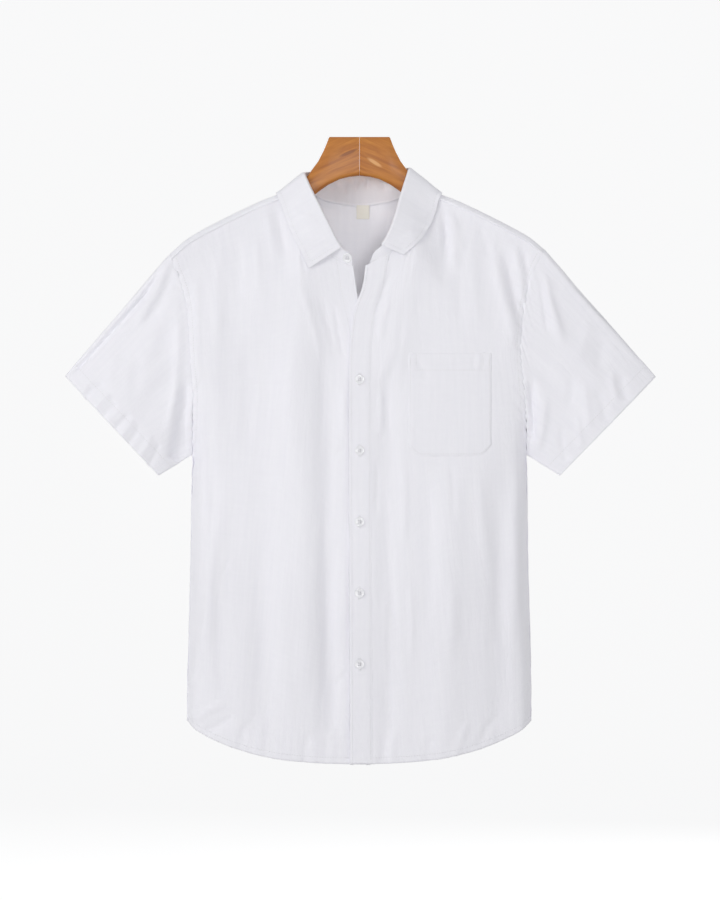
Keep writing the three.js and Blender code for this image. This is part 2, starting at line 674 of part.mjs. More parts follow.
function makeLeaf() {
  const lines = collarLines(LEAF_END_ROW);
  return wall(lines.map(({ fold, edge }, i) => {
    const before = lines[Math.max(0, i - 1)].fold;
    const after = lines[Math.min(lines.length - 1, i + 1)].fold;
    const across = edge.clone().sub(fold);
    const outward = after.clone().sub(before).cross(across).normalize();
    const upward = across.clone().normalize().negate();
    return LEAF_ROLL.map(({ down, up, out }) => {
      const point = fold.clone().addScaledVector(across, down);
      point.addScaledVector(upward, up).addScaledVector(outward, out);
      return down > 0 ? clearOfBody(point, LEAF_CLEAR) : point;
    });
  }));
}

// Pieces that lie on the fronts and in the neck, made from the body's own surface

function makeBand() {
  const rows = steps(ARMHOLE_CELLS + SIDE_CELLS);
  const places = [0.25, BAND.width / 2, BAND.width].map((inset) => rows.map((t) => {
    const z = mix(BAND.top, hemZ(0), t);
    const x = readTable(FRONT_EDGES, "z", "left", z) + inset;
    const slope = t === 0 ? Math.max(0, (inset - 4) * BAND.topSlope) : 0;
    return [x, -overAt(x, z + slope)];
  }));
  return bodyWall(places, { step: BAND_STEP, lapSide: "left" });
}

function makePocket() {
  const { left, right, top, bottom, corner } = POCKET;
  const places = steps(POCKET_CELLS.across).map((u) => {
    const x = mix(left, right, u);
    const cut = Math.max(0, 1 - Math.min(x - left, right - x) / corner);
    const low = bottom + 0.75 * corner * cut ** 2;
    return steps(POCKET_CELLS.down).map((v) => [x, -overAt(x, mix(top, low, v))]);
  });
  return bodyWall(places, { step: LAYER_STEP + 0.2 });
}

function makeLabel() {
  const places = [0.5, 0, -0.5].map((u) => steps(2).map((v) => {
    const x = LABEL.centre + u * LABEL.width;
    return [x, overAt(x, LABEL.top - v * LABEL.height)];
  }));
  return bodyWall(places, { step: -LAYER_STEP - 0.3, thickness: LABEL.thickness });
}

// A round button with four holes, facing along +Z before it is turned.
function buttonGeometry() {
  const face = new THREE.Shape().absarc(0, 0, BUTTON.radius - BUTTON.edge, 0, 2 * Math.PI);
  for (const turn of [0.25, 0.75, 1.25, 1.75]) {
    const x = BUTTON.holeRing * Math.cos(turn * Math.PI);
    const y = BUTTON.holeRing * Math.sin(turn * Math.PI);
    face.holes.push(new THREE.Path().absarc(x, y, BUTTON.hole, 0, 2 * Math.PI, true));
  }
  const geometry = new THREE.ExtrudeGeometry(face, {
    depth: BUTTON.thickness - 2 * BUTTON.edge,
    bevelThickness: BUTTON.edge,
    bevelSize: BUTTON.edge,
    bevelSegments: 1,
    curveSegments: 4,
  });
  return geometry.translate(0, 0, BUTTON.edge);
}

// Hanger

function armSection(station, sign) {
  const top = station.top ?? ridgeZ(station.x) - HANGER_CLEAR;
  const half = HANGER_HALF_THICKNESS;
  const topRound = half * station.round;
  const lowRound = Math.min(half * 0.8, (top - station.bottom) * 0.4);
  const middle = middleY(station.x, top);
  const x = sign * Math.max(station.x, 0.15);
  const points = [];
  const corner = (cy, cz, r, from) => {
    for (const t of steps(3)) {
      const a = from + (t * Math.PI) / 2;
      points.push(new THREE.Vector3(x, middle + cy + r * Math.cos(a), cz + r * Math.sin(a)));
    }
  };
  corner(half - topRound, top - topRound, topRound, 0);
  corner(-(half - topRound), top - topRound, topRound, Math.PI / 2);
  corner(-(half - lowRound), station.bottom + lowRound, lowRound, Math.PI);
  corner(half - lowRound, station.bottom + lowRound, lowRound, (3 * Math.PI) / 2);
  return points;
}

function armGeometry(sign) {
  const tip = { ...HANGER_TIP, round: 0.4 };
  const stations = [...HANGER_ARM, tip].map((station) => armSection(station, sign));
  const tipPoints = stations[stations.length - 1];
  const tipMiddle = middleY(HANGER_TIP.x, HANGER_TIP.top);
  for (const point of tipPoints) point.y = mix(tipMiddle, point.y, 0.6);
  const around = stations[0].length;
  const positions = stations.flat().flatMap((p) => [p.x, p.y, p.z]);
  const index = [];
  const face = (a, b, c) => (sign > 0 ? index.push(a, b, c) : index.push(a, c, b));
  for (let i = 0; i < stations.length - 1; i += 1) {
    for (let j = 0; j < around; j += 1) {
      const a = i * around + j;
      const b = i * around + ((j + 1) % around);
      face(a, b, b + around);
      face(a, b + around, a + around);
    }
  }
  const last = (stations.length - 1) * around;
  for (let j = 1; j < around - 1; j += 1) {
    face(0, j + 1, j);
    face(last, last + j, last + j + 1);
  }
  const geometry = new THREE.BufferGeometry();
  geometry.setAttribute("position", new THREE.Float32BufferAttribute(positions, 3));
  geometry.setIndex(index);
  return geometry;
}

// The whole shirt

const linen = new THREE.MeshStandardMaterial({ color: 0xf1f1f4, roughness: 0.92, metalness: 0 });
const shell = new THREE.MeshStandardMaterial({ color: 0xf3f2f0, roughness: 0.3, metalness: 0 });
const tape = new THREE.MeshStandardMaterial({ color: 0xf0ede4, roughness: 0.8, metalness: 0 });
const wood = new THREE.MeshStandardMaterial({ color: 0xc57e33, roughness: 0.38, metalness: 0 });

const shirt = new THREE.Group();

function add(name, geometry, material) {
  geometry.computeVertexNormals();
  const mesh = new THREE.Mesh(geometry, material);
  mesh.name = name;
  shirt.add(mesh);
  return mesh;
}

// Lays a button on a piece whose middle surface passes through a point.
function addButton(name, point, normal, gap = 0.35) {
  const button = add(name, buttonGeometry(), shell);
  button.quaternion.setFromUnitVectors(new THREE.Vector3(0, 0, 1), normal);
  button.position.copy(point).addScaledVector(normal, CLOTH / 2 + gap);
}

add("front_left", makeFront("left"), linen);
add("front_right", makeFront("right"), linen);
add("back", makeBack(), linen);
add("sleeve_left", makeSleeve("left"), linen);
add("sleeve_right", makeSleeve("right"), linen);
add("collar_stand", makeStand(), linen);
add("collar_leaf", makeLeaf(), linen);
add("button_band", makeBand(), linen);
add("pocket", makePocket(), linen);
add("label", makeLabel(), tape);

for (let i = 0; i < FRONT_BUTTONS.count; i += 1) {
  const over = -overAt(0, FRONT_BUTTONS.firstZ - i * FRONT_BUTTONS.spacing);
  const normal = bodyNormal(0, over);
  const point = bodyPoint(0, over, lap("left", 0)).addScaledVector(normal, BAND_STEP);
  addButton(`button_${i + 1}`, point, normal);
}

const [tabBefore, tabMiddle, tabAfter] = collarLines(1).slice(COLLAR_STEPS - 1, COLLAR_STEPS + 2)
  .map(({ seam, fold }) => ({ centre: seam.clone().lerp(fold, 0.5), up: fold.clone().sub(seam) }));
const tabNormal = tabAfter.centre.clone().sub(tabBefore.centre).cross(tabMiddle.up).normalize();
addButton("collar_button", tabMiddle.centre, tabNormal.y > 0 ? tabNormal.negate() : tabNormal, 0.9);

add("hanger_left", armGeometry(1), wood);
add("hanger_right", armGeometry(-1), wood);

export default shirt;
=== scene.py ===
import math

import bmesh
import bpy
import numpy as np
from mathutils import Matrix, Vector


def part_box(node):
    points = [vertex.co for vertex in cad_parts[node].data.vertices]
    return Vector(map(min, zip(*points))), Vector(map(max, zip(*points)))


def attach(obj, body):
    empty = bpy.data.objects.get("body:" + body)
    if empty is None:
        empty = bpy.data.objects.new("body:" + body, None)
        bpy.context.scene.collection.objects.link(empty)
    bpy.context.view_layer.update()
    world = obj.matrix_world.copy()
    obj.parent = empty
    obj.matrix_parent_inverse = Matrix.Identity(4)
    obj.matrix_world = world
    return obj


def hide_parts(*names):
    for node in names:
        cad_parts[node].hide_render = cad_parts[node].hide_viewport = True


# Short-sleeved linen camp shirt on a two-piece wooden hanger. Tables are in millimetres,
# in the CAD frame: x across, z up, and the front faces -y.

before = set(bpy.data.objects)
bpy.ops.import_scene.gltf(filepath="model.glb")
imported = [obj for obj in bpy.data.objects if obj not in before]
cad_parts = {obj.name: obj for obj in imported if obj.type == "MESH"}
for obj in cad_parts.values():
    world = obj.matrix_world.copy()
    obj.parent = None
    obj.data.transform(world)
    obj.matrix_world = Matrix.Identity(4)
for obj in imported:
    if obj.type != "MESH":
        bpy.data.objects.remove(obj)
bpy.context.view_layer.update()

MM = 0.001
CAD_WALL = 1.2  # how thick the CAD's cloth pieces are
CLOTH = 1.0  # how thick the shirt's cloth is drawn
SEWN_ON_CLOTH = 0.7  # the band's and the pocket's, which lie on the front
FAR = 1e9
TINY = 1e-9
SMOOTH_ANGLE = math.radians(40)  # edges flatter than this are shaded smooth
rng = np.random.default_rng(7)


# Small helpers

def smooth(t):
    """A soft step from 0 to 1."""
    s = np.clip(t, 0, 1)
    return s * s * (3 - 2 * s)


def unit(vectors):
    """Vectors brought to a length of 1."""
    return vectors / np.maximum(np.linalg.norm(vectors, axis=-1, keepdims=True), TINY)


def lengths(points):
    """How far along a line each of its points lies."""
    return np.concatenate([[0], np.cumsum(np.linalg.norm(np.diff(points, axis=0), axis=1))])


def linear(colour):
    """An sRGB hex value as linear red, green, blue and alpha."""
    parts = [int(colour[i:i + 2], 16) / 255 for i in (1, 3, 5)]
    return [c / 12.92 if c <= 0.04045 else ((c + 0.055) / 1.055) ** 2.4 for c in parts] + [1.0]


def show(piece, slot, *nodes):
    """Makes a piece ride on the shirt's one body and stand for its CAD nodes."""
    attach(piece, "root")
    if nodes:
        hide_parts(*nodes)


def add_object(name, data):
    """A new object in the scene, at the origin."""
    thing = bpy.data.objects.new(name, data)
    bpy.context.scene.collection.objects.link(thing)
    return thing


def mesh_piece(name, points, faces, material, scale=MM):
    """A smooth-shaded object from points in millimetres, or in another scale."""
    mesh = bpy.data.meshes.new(name)
    mesh.from_pydata((np.array(points) * scale).tolist(), [], faces)
    mesh.materials.append(material)
    mesh.shade_smooth()
    return add_object(name, mesh)


def copy_piece(name, source, material, place=Matrix()):
    """A copy of a mesh as an object of its own, moved by a matrix and in one material."""
    mesh = source.copy()
    mesh.transform(place)
    mesh.materials.clear()
    mesh.materials.append(material)
    return add_object(name, mesh)


def deselect():
    """Leaves nothing selected for the next operator."""
    bpy.ops.object.select_all(action="DESELECT")


def make_active(piece):
    """Selects one piece alone, for the next operator to work on."""
    deselect()
    piece.select_set(True)
    bpy.context.view_layer.objects.active = piece


def finish_modifier(piece, kind, **settings):
    """Adds a modifier to a piece and applies it."""
    make_active(piece)
    modifier = piece.modifiers.new(kind.title(), kind)
    for key, value in settings.items():
        setattr(modifier, key, value)
    bpy.ops.object.modifier_apply(modifier=modifier.name)


# Reading a CAD wall: its outer skin, as rows of points

def skin(node, centre=None, facing=1, wall=CAD_WALL):
    """Points in millimetres and triangles of one side of a CAD wall.

    The rim's triangles are the ones with an edge as long as the wall is thick. The side
    wanted is the one that faces away from the centre, or towards it if facing is -1."""
    shape = bmesh.new()
    shape.from_mesh(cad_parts[node].data)
    bmesh.ops.remove_doubles(shape, verts=shape.verts, dist=1e-5)
    close = 0.01 * MM
    rim = [f for f in shape.faces if any(abs(e.calc_length() - wall * MM) < close for e in f.edges)]
    bmesh.ops.delete(shape, geom=rim, context="FACES_ONLY")
    bmesh.ops.delete(shape, geom=[v for v in shape.verts if not v.link_faces], context="VERTS")
    shape.verts.index_update()
    points = np.array([v.co[:] for v in shape.verts]) / MM
    unseen = set(shape.faces)
    sides = []
    while unseen:
        side = [unseen.pop()]
        for face in side:
            near = {f for e in face.edges for f in e.link_faces if f in unseen}
            unseen -= near
            side.extend(near)
        sides.append([[v.index for v in f.verts] for f in side])
    best = max(sides, key=lambda side: facing * outwardness(points, np.array(side), centre))
    shape.free()
    return points, best


def outwardness(points, faces, centre):
    """How much a side's triangles face away from a centre, or from the upright axis."""
    a, b, c = (points[faces[:, k]] for k in range(3))
    middle = (a + b + c) / 3
    if centre is None:
        away = middle * (1, 1, 0)
    else:
        away = middle - centre
    return float((np.cross(b - a, c - a) * away).sum())


def edge_loops(faces):
    """The open edges of a skin, as loops with the cloth on their left."""
    across = {(f[k], f[(k + 1) % 3]): f[(k + 2) % 3] for f in faces for k in range(3)}
    after = {a: b for a, b in across if (b, a) not in across}
    loops = []
    while after:
        loop = [next(iter(after))]
        while loop[-1] in after:
            loop.append(after.pop(loop[-1]))
        loops.append(loop[:-1])
    return across, loops


def nearest(points, loop, x, z, y=None):
    """The place in a loop of the point nearest x and z, and to y where it is given."""
    away = points[loop] - np.array([x, 0 if y is None else y, z])
    if y is None:
        away[:, 1] = 0
    return int(np.linalg.norm(away, axis=1).argmin())


def next_row(across, row, start, around):
    """The row of points below a row, from its first point."""
    found = [start]
    for p, q in zip(row, row[1:] + (row[:1] if around else [])):
        third = across[(p, q)]
        found.append(across[(found[-1], q)] if third == found[-1] else third)
    return found[:-1] if around else found


def panel_grid(node, first, last, facing=1, wall=CAD_WALL):
    """Rows of points of a four-sided skin. Its first row runs from the corner nearest first
    to the one nearest last, both (x, z) or (x, z, y), with the cloth on its left."""
    points, faces = skin(node, None, facing, wall)
    across, loops = edge_loops(faces)
    loop = max(loops, key=len)
    k = nearest(points, loop, *first)
    loop = loop[k:] + loop[:k]
    width = nearest(points, loop, *last) + 1
    rows = [loop[:width]]
    for i in range(1, len(loop) // 2 - width + 2):
        rows.append(next_row(across, rows[-1], loop[-i], False))
    return points[np.array(rows)]


def tube_grid(node):
    """Rings of points of a sleeve's skin, from the armhole's lowest point round. The
    armhole is the loop nearer the shirt's middle."""
    low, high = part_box(node)
    points, faces = skin(node, centre=np.array((low + high) / 2) / MM)
    across, loops = edge_loops(faces)
    ring, hem = sorted(loops, key=lambda loop: abs(points[loop][:, 0].mean()))
    k = int(np.argmin(points[ring][:, 2]))
    ring = ring[k:] + ring[:k]
    target = points[min(hem, key=lambda v: points[v][2])]
    rows = [ring]
    count = len({v for f in faces for v in f}) // len(ring)
    origin = points[ring[0]]
    for i in range(1, count):
        row = rows[-1]
        third = across[(row[0], row[1])]
        options = [third] + ([across[(row[0], third)]] if (row[0], third) in across else [])
        place = origin + (target - origin) * i / (count - 1)
        start = min(options, key=lambda v: np.linalg.norm(points[v] - place))
        rows.append(next_row(across, row, start, True))
    return points[np.array(rows)]


# Cloth sheets

def respace(line_sets, count, around=False):
    """Curves through the first axis of an array of points, read at even distances."""
    lines = np.concatenate([line_sets[-2:], line_sets, line_sets[:3]]) if around else line_sets
    steps = np.linalg.norm(np.diff(lines, axis=0), axis=2).mean(1)
    at = np.concatenate([[0], np.cumsum(np.maximum(steps, 1e-6))])
    if around:
        start, stop = at[2], at[-3]
        wanted = start + (stop - start) * np.arange(count) / count
    else:
        wanted = np.linspace(0, at[-1], count)
    slope = np.gradient(lines, at, axis=0)
    k = np.clip(np.searchsorted(at, wanted, side="right") - 1, 0, len(at) - 2)
    span = (at[k + 1] - at[k])[:, None, None]
    t = ((wanted - at[k]) / (at[k + 1] - at[k]))[:, None, None]
    return ((2 * t**3 - 3 * t**2 + 1) * lines[k] + (t**3 - 2 * t**2 + t) * span * slope[k]
            + (3 * t**2 - 2 * t**3) * lines[k + 1] + (t**3 - t**2) * span * slope[k + 1])


def finer(grid, rows, columns, around=False):
    """A smooth grid with more rows and columns. around says that the columns close."""
    down = respace(grid, rows)
    return respace(down.transpose(1, 0, 2), columns, around).transpose(1, 0, 2)


def grid_normals(grid, around=False):
    """Outward normals: a grid's rows run with the cloth on their left."""
    if around:
        wide = np.concatenate([grid[:, -1:], grid, grid[:, :1]], axis=1)
        along = np.gradient(wide, axis=1)[:, 1:-1]
    else:
        along = np.gradient(grid, axis=1)
    return unit(np.cross(along, np.gradient(grid, axis=0)))


def runs(grid, axis):
    """How far along its row or column each point of a grid lies, in millimetres."""
    steps = np.linalg.norm(np.diff(grid, axis=axis), axis=2)
    total = np.cumsum(steps, axis=axis)
    pad = [(1, 0), (0, 0)] if axis == 0 else [(0, 0), (1, 0)]
    return np.pad(total, pad)


def turned(grid, side):
    """A grid turned so that the given side is its last row."""
    if side in ("start", "end"):
        grid = grid.transpose(1, 0, 2)
    return grid[::-1] if side in ("top", "start") else grid


def with_rows(points, outward, side, more_points, more_outward):
    """Adds rows of points and normals past a turned grid's side, and turns it back."""
    grown = []
    for grid in (np.concatenate([points, more_points]), np.concatenate([outward, more_outward])):
        if side in ("top", "start"):
            grid = grid[::-1]
        grown.append(grid.transpose(1, 0, 2) if side in ("start", "end") else grid)
    return grown


def seam_edge(grid, normals, side, out=1.0, under=0.7):
    """Adds a row past one edge that turns down into its seam."""
    points, outward = turned(grid, side), turned(normals, side)
    row = points[-1] + unit(points[-1] - points[-2]) * out - outward[-1] * under
    return with_rows(points, outward, side, row[None], outward[-1:])


def hem_edge(grid, normals, side, depth, gap=2.25):
    """Folds an edge back behind the cloth, as a hem turned up inside."""
    points, outward = turned(grid, side), turned(normals, side)
    away = points[-1] - points[-2]
    count = max(2, int(round(depth / np.linalg.norm(away, axis=1).mean())))
    turn = points[-1] + unit(away) * 0.35 - outward[-1] * gap * 0.5
    back = slice(None, -1 - count, -1)
    behind = points[back] - outward[back] * gap
    return with_rows(points, outward, side, np.concatenate([turn[None], behind]),
                     np.concatenate([outward[-1:], outward[back]]))


def inset_line(grid, normals, side, distance, skip=(0, 0)):
    """A line on the cloth at a distance in from one edge, with its normals. It leaves out
    what skip says at its two ends."""
    both = turned(np.concatenate([grid, normals], axis=2), side)[::-1]
    run = runs(both[..., :3], 0)
    line = []
    for j in range(both.shape[1]):
        k = int(np.clip(np.searchsorted(run[:, j], distance) - 1, 0, len(run) - 2))
        t = (distance - run[k, j]) / max(run[k + 1, j] - run[k, j], TINY)
        line.append(both[k, j] * (1 - t) + both[k + 1, j] * t)
    line = np.array(line)
    length = lengths(line[:, :3])
    return line[(length >= skip[0]) & (length <= length[-1] - skip[1])]


def cloth_piece(name, grid, material, around=False, thickness=CLOTH):
    """A sheet of cloth from a grid of points in millimetres, with a wall's thickness and a
    UV map in metres along and across it."""
    rows, columns = grid.shape[:2]
    index = np.arange(rows * columns).reshape(rows, columns)
    right = np.roll(index, -1, axis=1) if around else index[:, 1:]
    left = index if around else index[:, :-1]
    faces = np.stack([left[:-1], right[:-1], right[1:], left[1:]], axis=-1).reshape(-1, 4)
    piece = mesh_piece(name, grid.reshape(-1, 3), faces.tolist(), material)
    across = runs(grid, 1).mean(0, keepdims=True) * np.ones((rows, 1)) * MM
    down = runs(grid, 0).mean(1, keepdims=True) * np.ones((1, columns)) * MM
    wide = across[0, -1] + np.linalg.norm(grid[:, 0] - grid[:, -1], axis=1).mean() * MM
    u = across.ravel()[faces]
    if around:
        u[faces % columns == 0] = 0
        closing = (faces[:, 0] % columns) == columns - 1
        u[closing, 1:3] = wide
    flat = np.stack([u, -down.ravel()[faces]], axis=-1)
    uv = piece.data.uv_layers.new(name="cloth")
    uv.data.foreach_set("uv", flat.ravel().astype(np.float32))
    finish_modifier(piece, "SOLIDIFY", thickness=thickness * MM, offset=-1.0, use_rim=True)
    return piece


# Stitches

STITCH = {"pitch": 3.4, "length": 2.5, "width": 0.62, "height": 0.34}

# The four rings of a stitch: how far along it, how wide and how high each one is
STITCH_RINGS = [(-1.0, 0.25, -0.6), (-0.55, 1.0, 0.55), (0.55, 1.0, 0.55), (1.0, 0.25, -0.6)]
STITCH_FACES = [
    (4 * ring + k, 4 * ring + (k + 1) % 4, 4 * ring + (k + 1) % 4 + 4, 4 * ring + k + 4)
    for ring in range(3) for k in range(4)
] + [(3, 2, 1, 0), (12, 13, 14, 15)]


def stitched(name, lines, material, pitch=STITCH["pitch"], length=STITCH["length"]):
    """Sewn stitches along lines on the cloth, joined as one piece: each a short raised
    thread with pointed ends that go down into the cloth."""
    points = []
    faces = []
    for line in lines:
        places = line[:, :3]
        run = lengths(places)
        for at in np.arange(pitch * 0.5, run[-1] - length * 0.5, pitch):
            k = int(np.clip(np.searchsorted(run, at) - 1, 0, len(run) - 2))
            t = (at - run[k]) / max(run[k + 1] - run[k], TINY)
            middle = places[k] * (1 - t) + places[k + 1] * t
            ahead = unit(places[k + 1] - places[k])
            up = line[k, 3:] * (1 - t) + line[k + 1, 3:] * t
            up = unit(up - ahead * up.dot(ahead))
            aside = np.cross(ahead, up)
            faces += [tuple(len(points) + corner for corner in face) for face in STITCH_FACES]
            for forward, wide, high in STITCH_RINGS:
                centre = middle + ahead * forward * length / 2 + up * STITCH["height"] * high * 0.5
                half = STITCH["width"] / 2 * wide
                tall = STITCH["height"] / 2 * wide
                for across, raised_by in ((-1, 0), (0, 1), (1, 0), (0, -1)):
                    points.append(centre + aside * across * half + up * raised_by * tall)
    show(mesh_piece(name, points, faces, material), "linen")


# Creases

# The soft light flattens a crease, so all of them are drawn deeper than the tables say.
CREASE_DEPTH = 1.6


def fold(rise, width, *path, start=0.3, end=0.3):
    """A crease: how far it stands off the cloth, how far it reaches to its left
    and right, the (x, z) places it passes, and the shares of its length it fades over."""
    left, right = width if isinstance(width, tuple) else (width, width)
    return {"rise": rise, "left": left, "right": right, "path": path, "start": start, "end": end}


def crease_height(creases, grid):
    """How far the cloth stands off at each point of a grid, from a table of creases."""
    x, z = grid[..., 0], grid[..., 2]
    height = np.zeros_like(x)
    for crease in creases:
        path = np.array(crease["path"], float)
        best = np.full(x.shape, FAR)
        along = np.zeros_like(x)
        length = lengths(path)
        for k in range(len(path) - 1):
            a, step = path[k], path[k + 1] - path[k]
            span = np.linalg.norm(step)
            t = np.clip(((x - a[0]) * step[0] + (z - a[1]) * step[1]) / span**2, 0, 1)
            dx, dz = x - a[0] - t * step[0], z - a[1] - t * step[1]
            side = (dx * step[1] - dz * step[0]) / span
            off = np.hypot(dx, dz) * np.where(side < 0, -1, 1)
            near = np.abs(off) < np.abs(best)
            best = np.where(near, off, best)
            along = np.where(near, (length[k] + t * span) / length[-1], along)
        off = best / np.where(best < 0, crease["left"], crease["right"])
        ends = smooth(along / crease["start"]) * smooth((1 - along) / crease["end"])
        height += crease["rise"] * np.exp(-off * off) * ends
    return height * CREASE_DEPTH


FRONT_CREASES = [
    fold(-1.9, (3, 5), (-112, -83), (-98, -144), (-92, -170)),
    fold(-2.3, (4, 3), (108, -84), (112, -120), (114, -150), (113, -170)),
    fold(1.3, 5, (-126, -92), (-116, -130), (-106, -176)),
    fold(2.0, (5, 8), (122, -92), (125, -130), (126, -184)),
    fold(-1.6, 3, (110, -106), (112, -125), (113, -150)),
    fold(-2.0, (14, 9), (-40, -500), (-41, -638), (-30, -816)),
    fold(-2.3, (14, 10), (-208, -330), (-190, -479), (-186, -640), (-180, -800)),
    fold(2.6, (12, 7), (-176, -440), (-191, -539), (-201, -638), (-216, -717)),
    fold(1.3, 4.5, (28, -326), (28, -400)),
    fold(1.2, 4, (-20, -326), (-19, -400)),
    fold(1.2, (7, 5), (-79, -189), (-64, -242), (-47, -297)),
    fold(-1.4, (8, 6), (-55, -202), (-39, -255), (-26, -310)),
    fold(-1.4, 3, (-34, -215), (-27, -261), (-18, -302)),
    fold(-1.6, (12, 10), (-150, -255), (-148, -347), (-145, -437)),
    fold(1.4, (12, 10), (-89, -255), (-92, -347), (-86, -440)),
    fold(1.1, 6, (-135, -123), (-135, -165), (-129, -215)),
    fold(-1.0, 7, (-160, -125), (-158, -165), (-160, -228)),
    fold(0.9, 8, (-182, -136), (-187, -202), (-182, -281)),
    fold(1.2, (5, 8), (-214, -165), (-213, -255), (-214, -347)),
    fold(-1.4, 14, (-129, -506), (-129, -611), (-121, -730)),
    fold(1.3, 12, (-97, -532), (-100, -664), (-92, -789)),
    fold(-0.55, 2.6, (-171, -553), (-176, -569), (-182, -581)),
    fold(0.4, 2.6, (-167, -558), (-172, -573)),
    fold(-1.1, 2.8, (-16, -701), (-24, -714), (-34, -722)),
    fold(1.6, (6, 4), (-174, -743), (-200, -756), (-222, -768), end=0.1),
    fold(-1.5, 5, (-160, -760), (-187, -776), (-205, -785), end=0.1),
    fold(1.0, 3, (-212, -696), (-218, -711), (-225, -725), end=0.1),
    fold(-1.4, 6, (-148, -767), (-154, -791), (-158, -814), end=0.05),
    fold(1.0, 5, (-129, -759), (-130, -789), (-134, -820), end=0.05),
    fold(-1.1, 6, (-65, -780), (-71, -807), (-72, -830), end=0.05),
    fold(1.0, 5, (-39, -772), (-35, -803), (-38, -830), end=0.05),
    fold(1.1, 5, (48, -772), (44, -799), (42, -829), end=0.05),
    fold(-1.1, 5, (32, -780), (32, -807), (30, -830), end=0.05),
    fold(-0.9, 5, (185, -759), (167, -780), (156, -804), end=0.05),
    fold(1.0, 5, (143, -767), (134, -791), (126, -817), end=0.05),
    fold(-1.0, 6, (96, -785), (90, -809), (90, -830), end=0.05),
    fold(1.1, 8, (147, -117), (151, -189), (156, -260)),
    fold(-1.0, 7, (130, -136), (130, -202), (135, -268)),
    fold(1.3, 5, (42, -206), (31, -239), (26, -275)),
    fold(-1.3, (8, 5), (48, -165), (32, -202), (19, -239)),
    fold(-0.8, 6, (60, -210), (56, -249), (51, -281)),
    fold(1.0, 5, (59, -424), (60, -479), (59, -539)),
    fold(1.0, 5, (67, -578), (69, -638), (68, -701)),
    fold(-1.2, 4, (23, -416), (24, -466), (22, -508)),
    fold(0.9, 5, (35, -582), (32, -651), (35, -733)),
    fold(-1.3, 10, (89, -434), (93, -558), (90, -664)),
    fold(1.1, 8, (121, -572), (122, -638), (119, -697)),
    fold(-0.8, 4, (121, -424), (123, -466), (123, -513)),
    fold(1.0, 8, (156, -434), (160, -506), (167, -574)),
    fold(-1.2, 9, (182, -453), (185, -572), (182, -690)),
    fold(1.1, 7, (200, -440), (203, -558), (201, -730)),
    fold(-1.0, 5, (217, -479), (217, -572), (216, -664)),
    fold(2.4, (9, 5), (172, -136), (184, -197), (207, -280)),
    fold(-2.0, 5, (189, -140), (200, -195), (211, -255)),
    fold(2.0, (6, 4), (203, -136), (211, -178), (217, -223)),
    fold(-1.6, 4, (213, -140), (218, -165), (226, -199)),
    fold(0.9, 5, (122, -102), (130, -125), (135, -158)),
    fold(-1.0, 5, (159, -112), (164, -136), (174, -165)),
    fold(-0.6, 2.6, (-15, -411), (-24, -413), (-35, -420)),
]


# The right front sinks a little under the edge of the button band, here more and there less.
LAP_CREASES = [
    fold(-1.3, 2.6, (-6, -232), (-10, -290), (-13, -400)),
    fold(-1.1, 3.2, (-13, -352), (-12.5, -470), (-13, -560)),
    fold(-1.4, 2.6, (-12.5, -520), (-13.5, -640), (-13, -735)),
    fold(-1.4, 3.4, (-14, -690), (-12.5, -760), (-13, -836), end=0.05),
]


# Short folds down from the pocket's top edge, and one down its inner side
POCKET_CREASES = [
    fold(-0.45, 2.2, (150, -287), (149, -308), start=0.05),
    fold(0.4, 2.4, (157, -287), (156, -311), start=0.05),
    fold(-0.5, 2.0, (164, -287), (162, -308), start=0.05),
    fold(-0.35, 3.0, (128, -287), (127, -304), start=0.05),
    fold(-0.5, 4.5, (72, -290), (83, -306), (90, -324), start=0.05),
    fold(0.4, 4.0, (66, -330), (69, -374), (68, -420)),
]


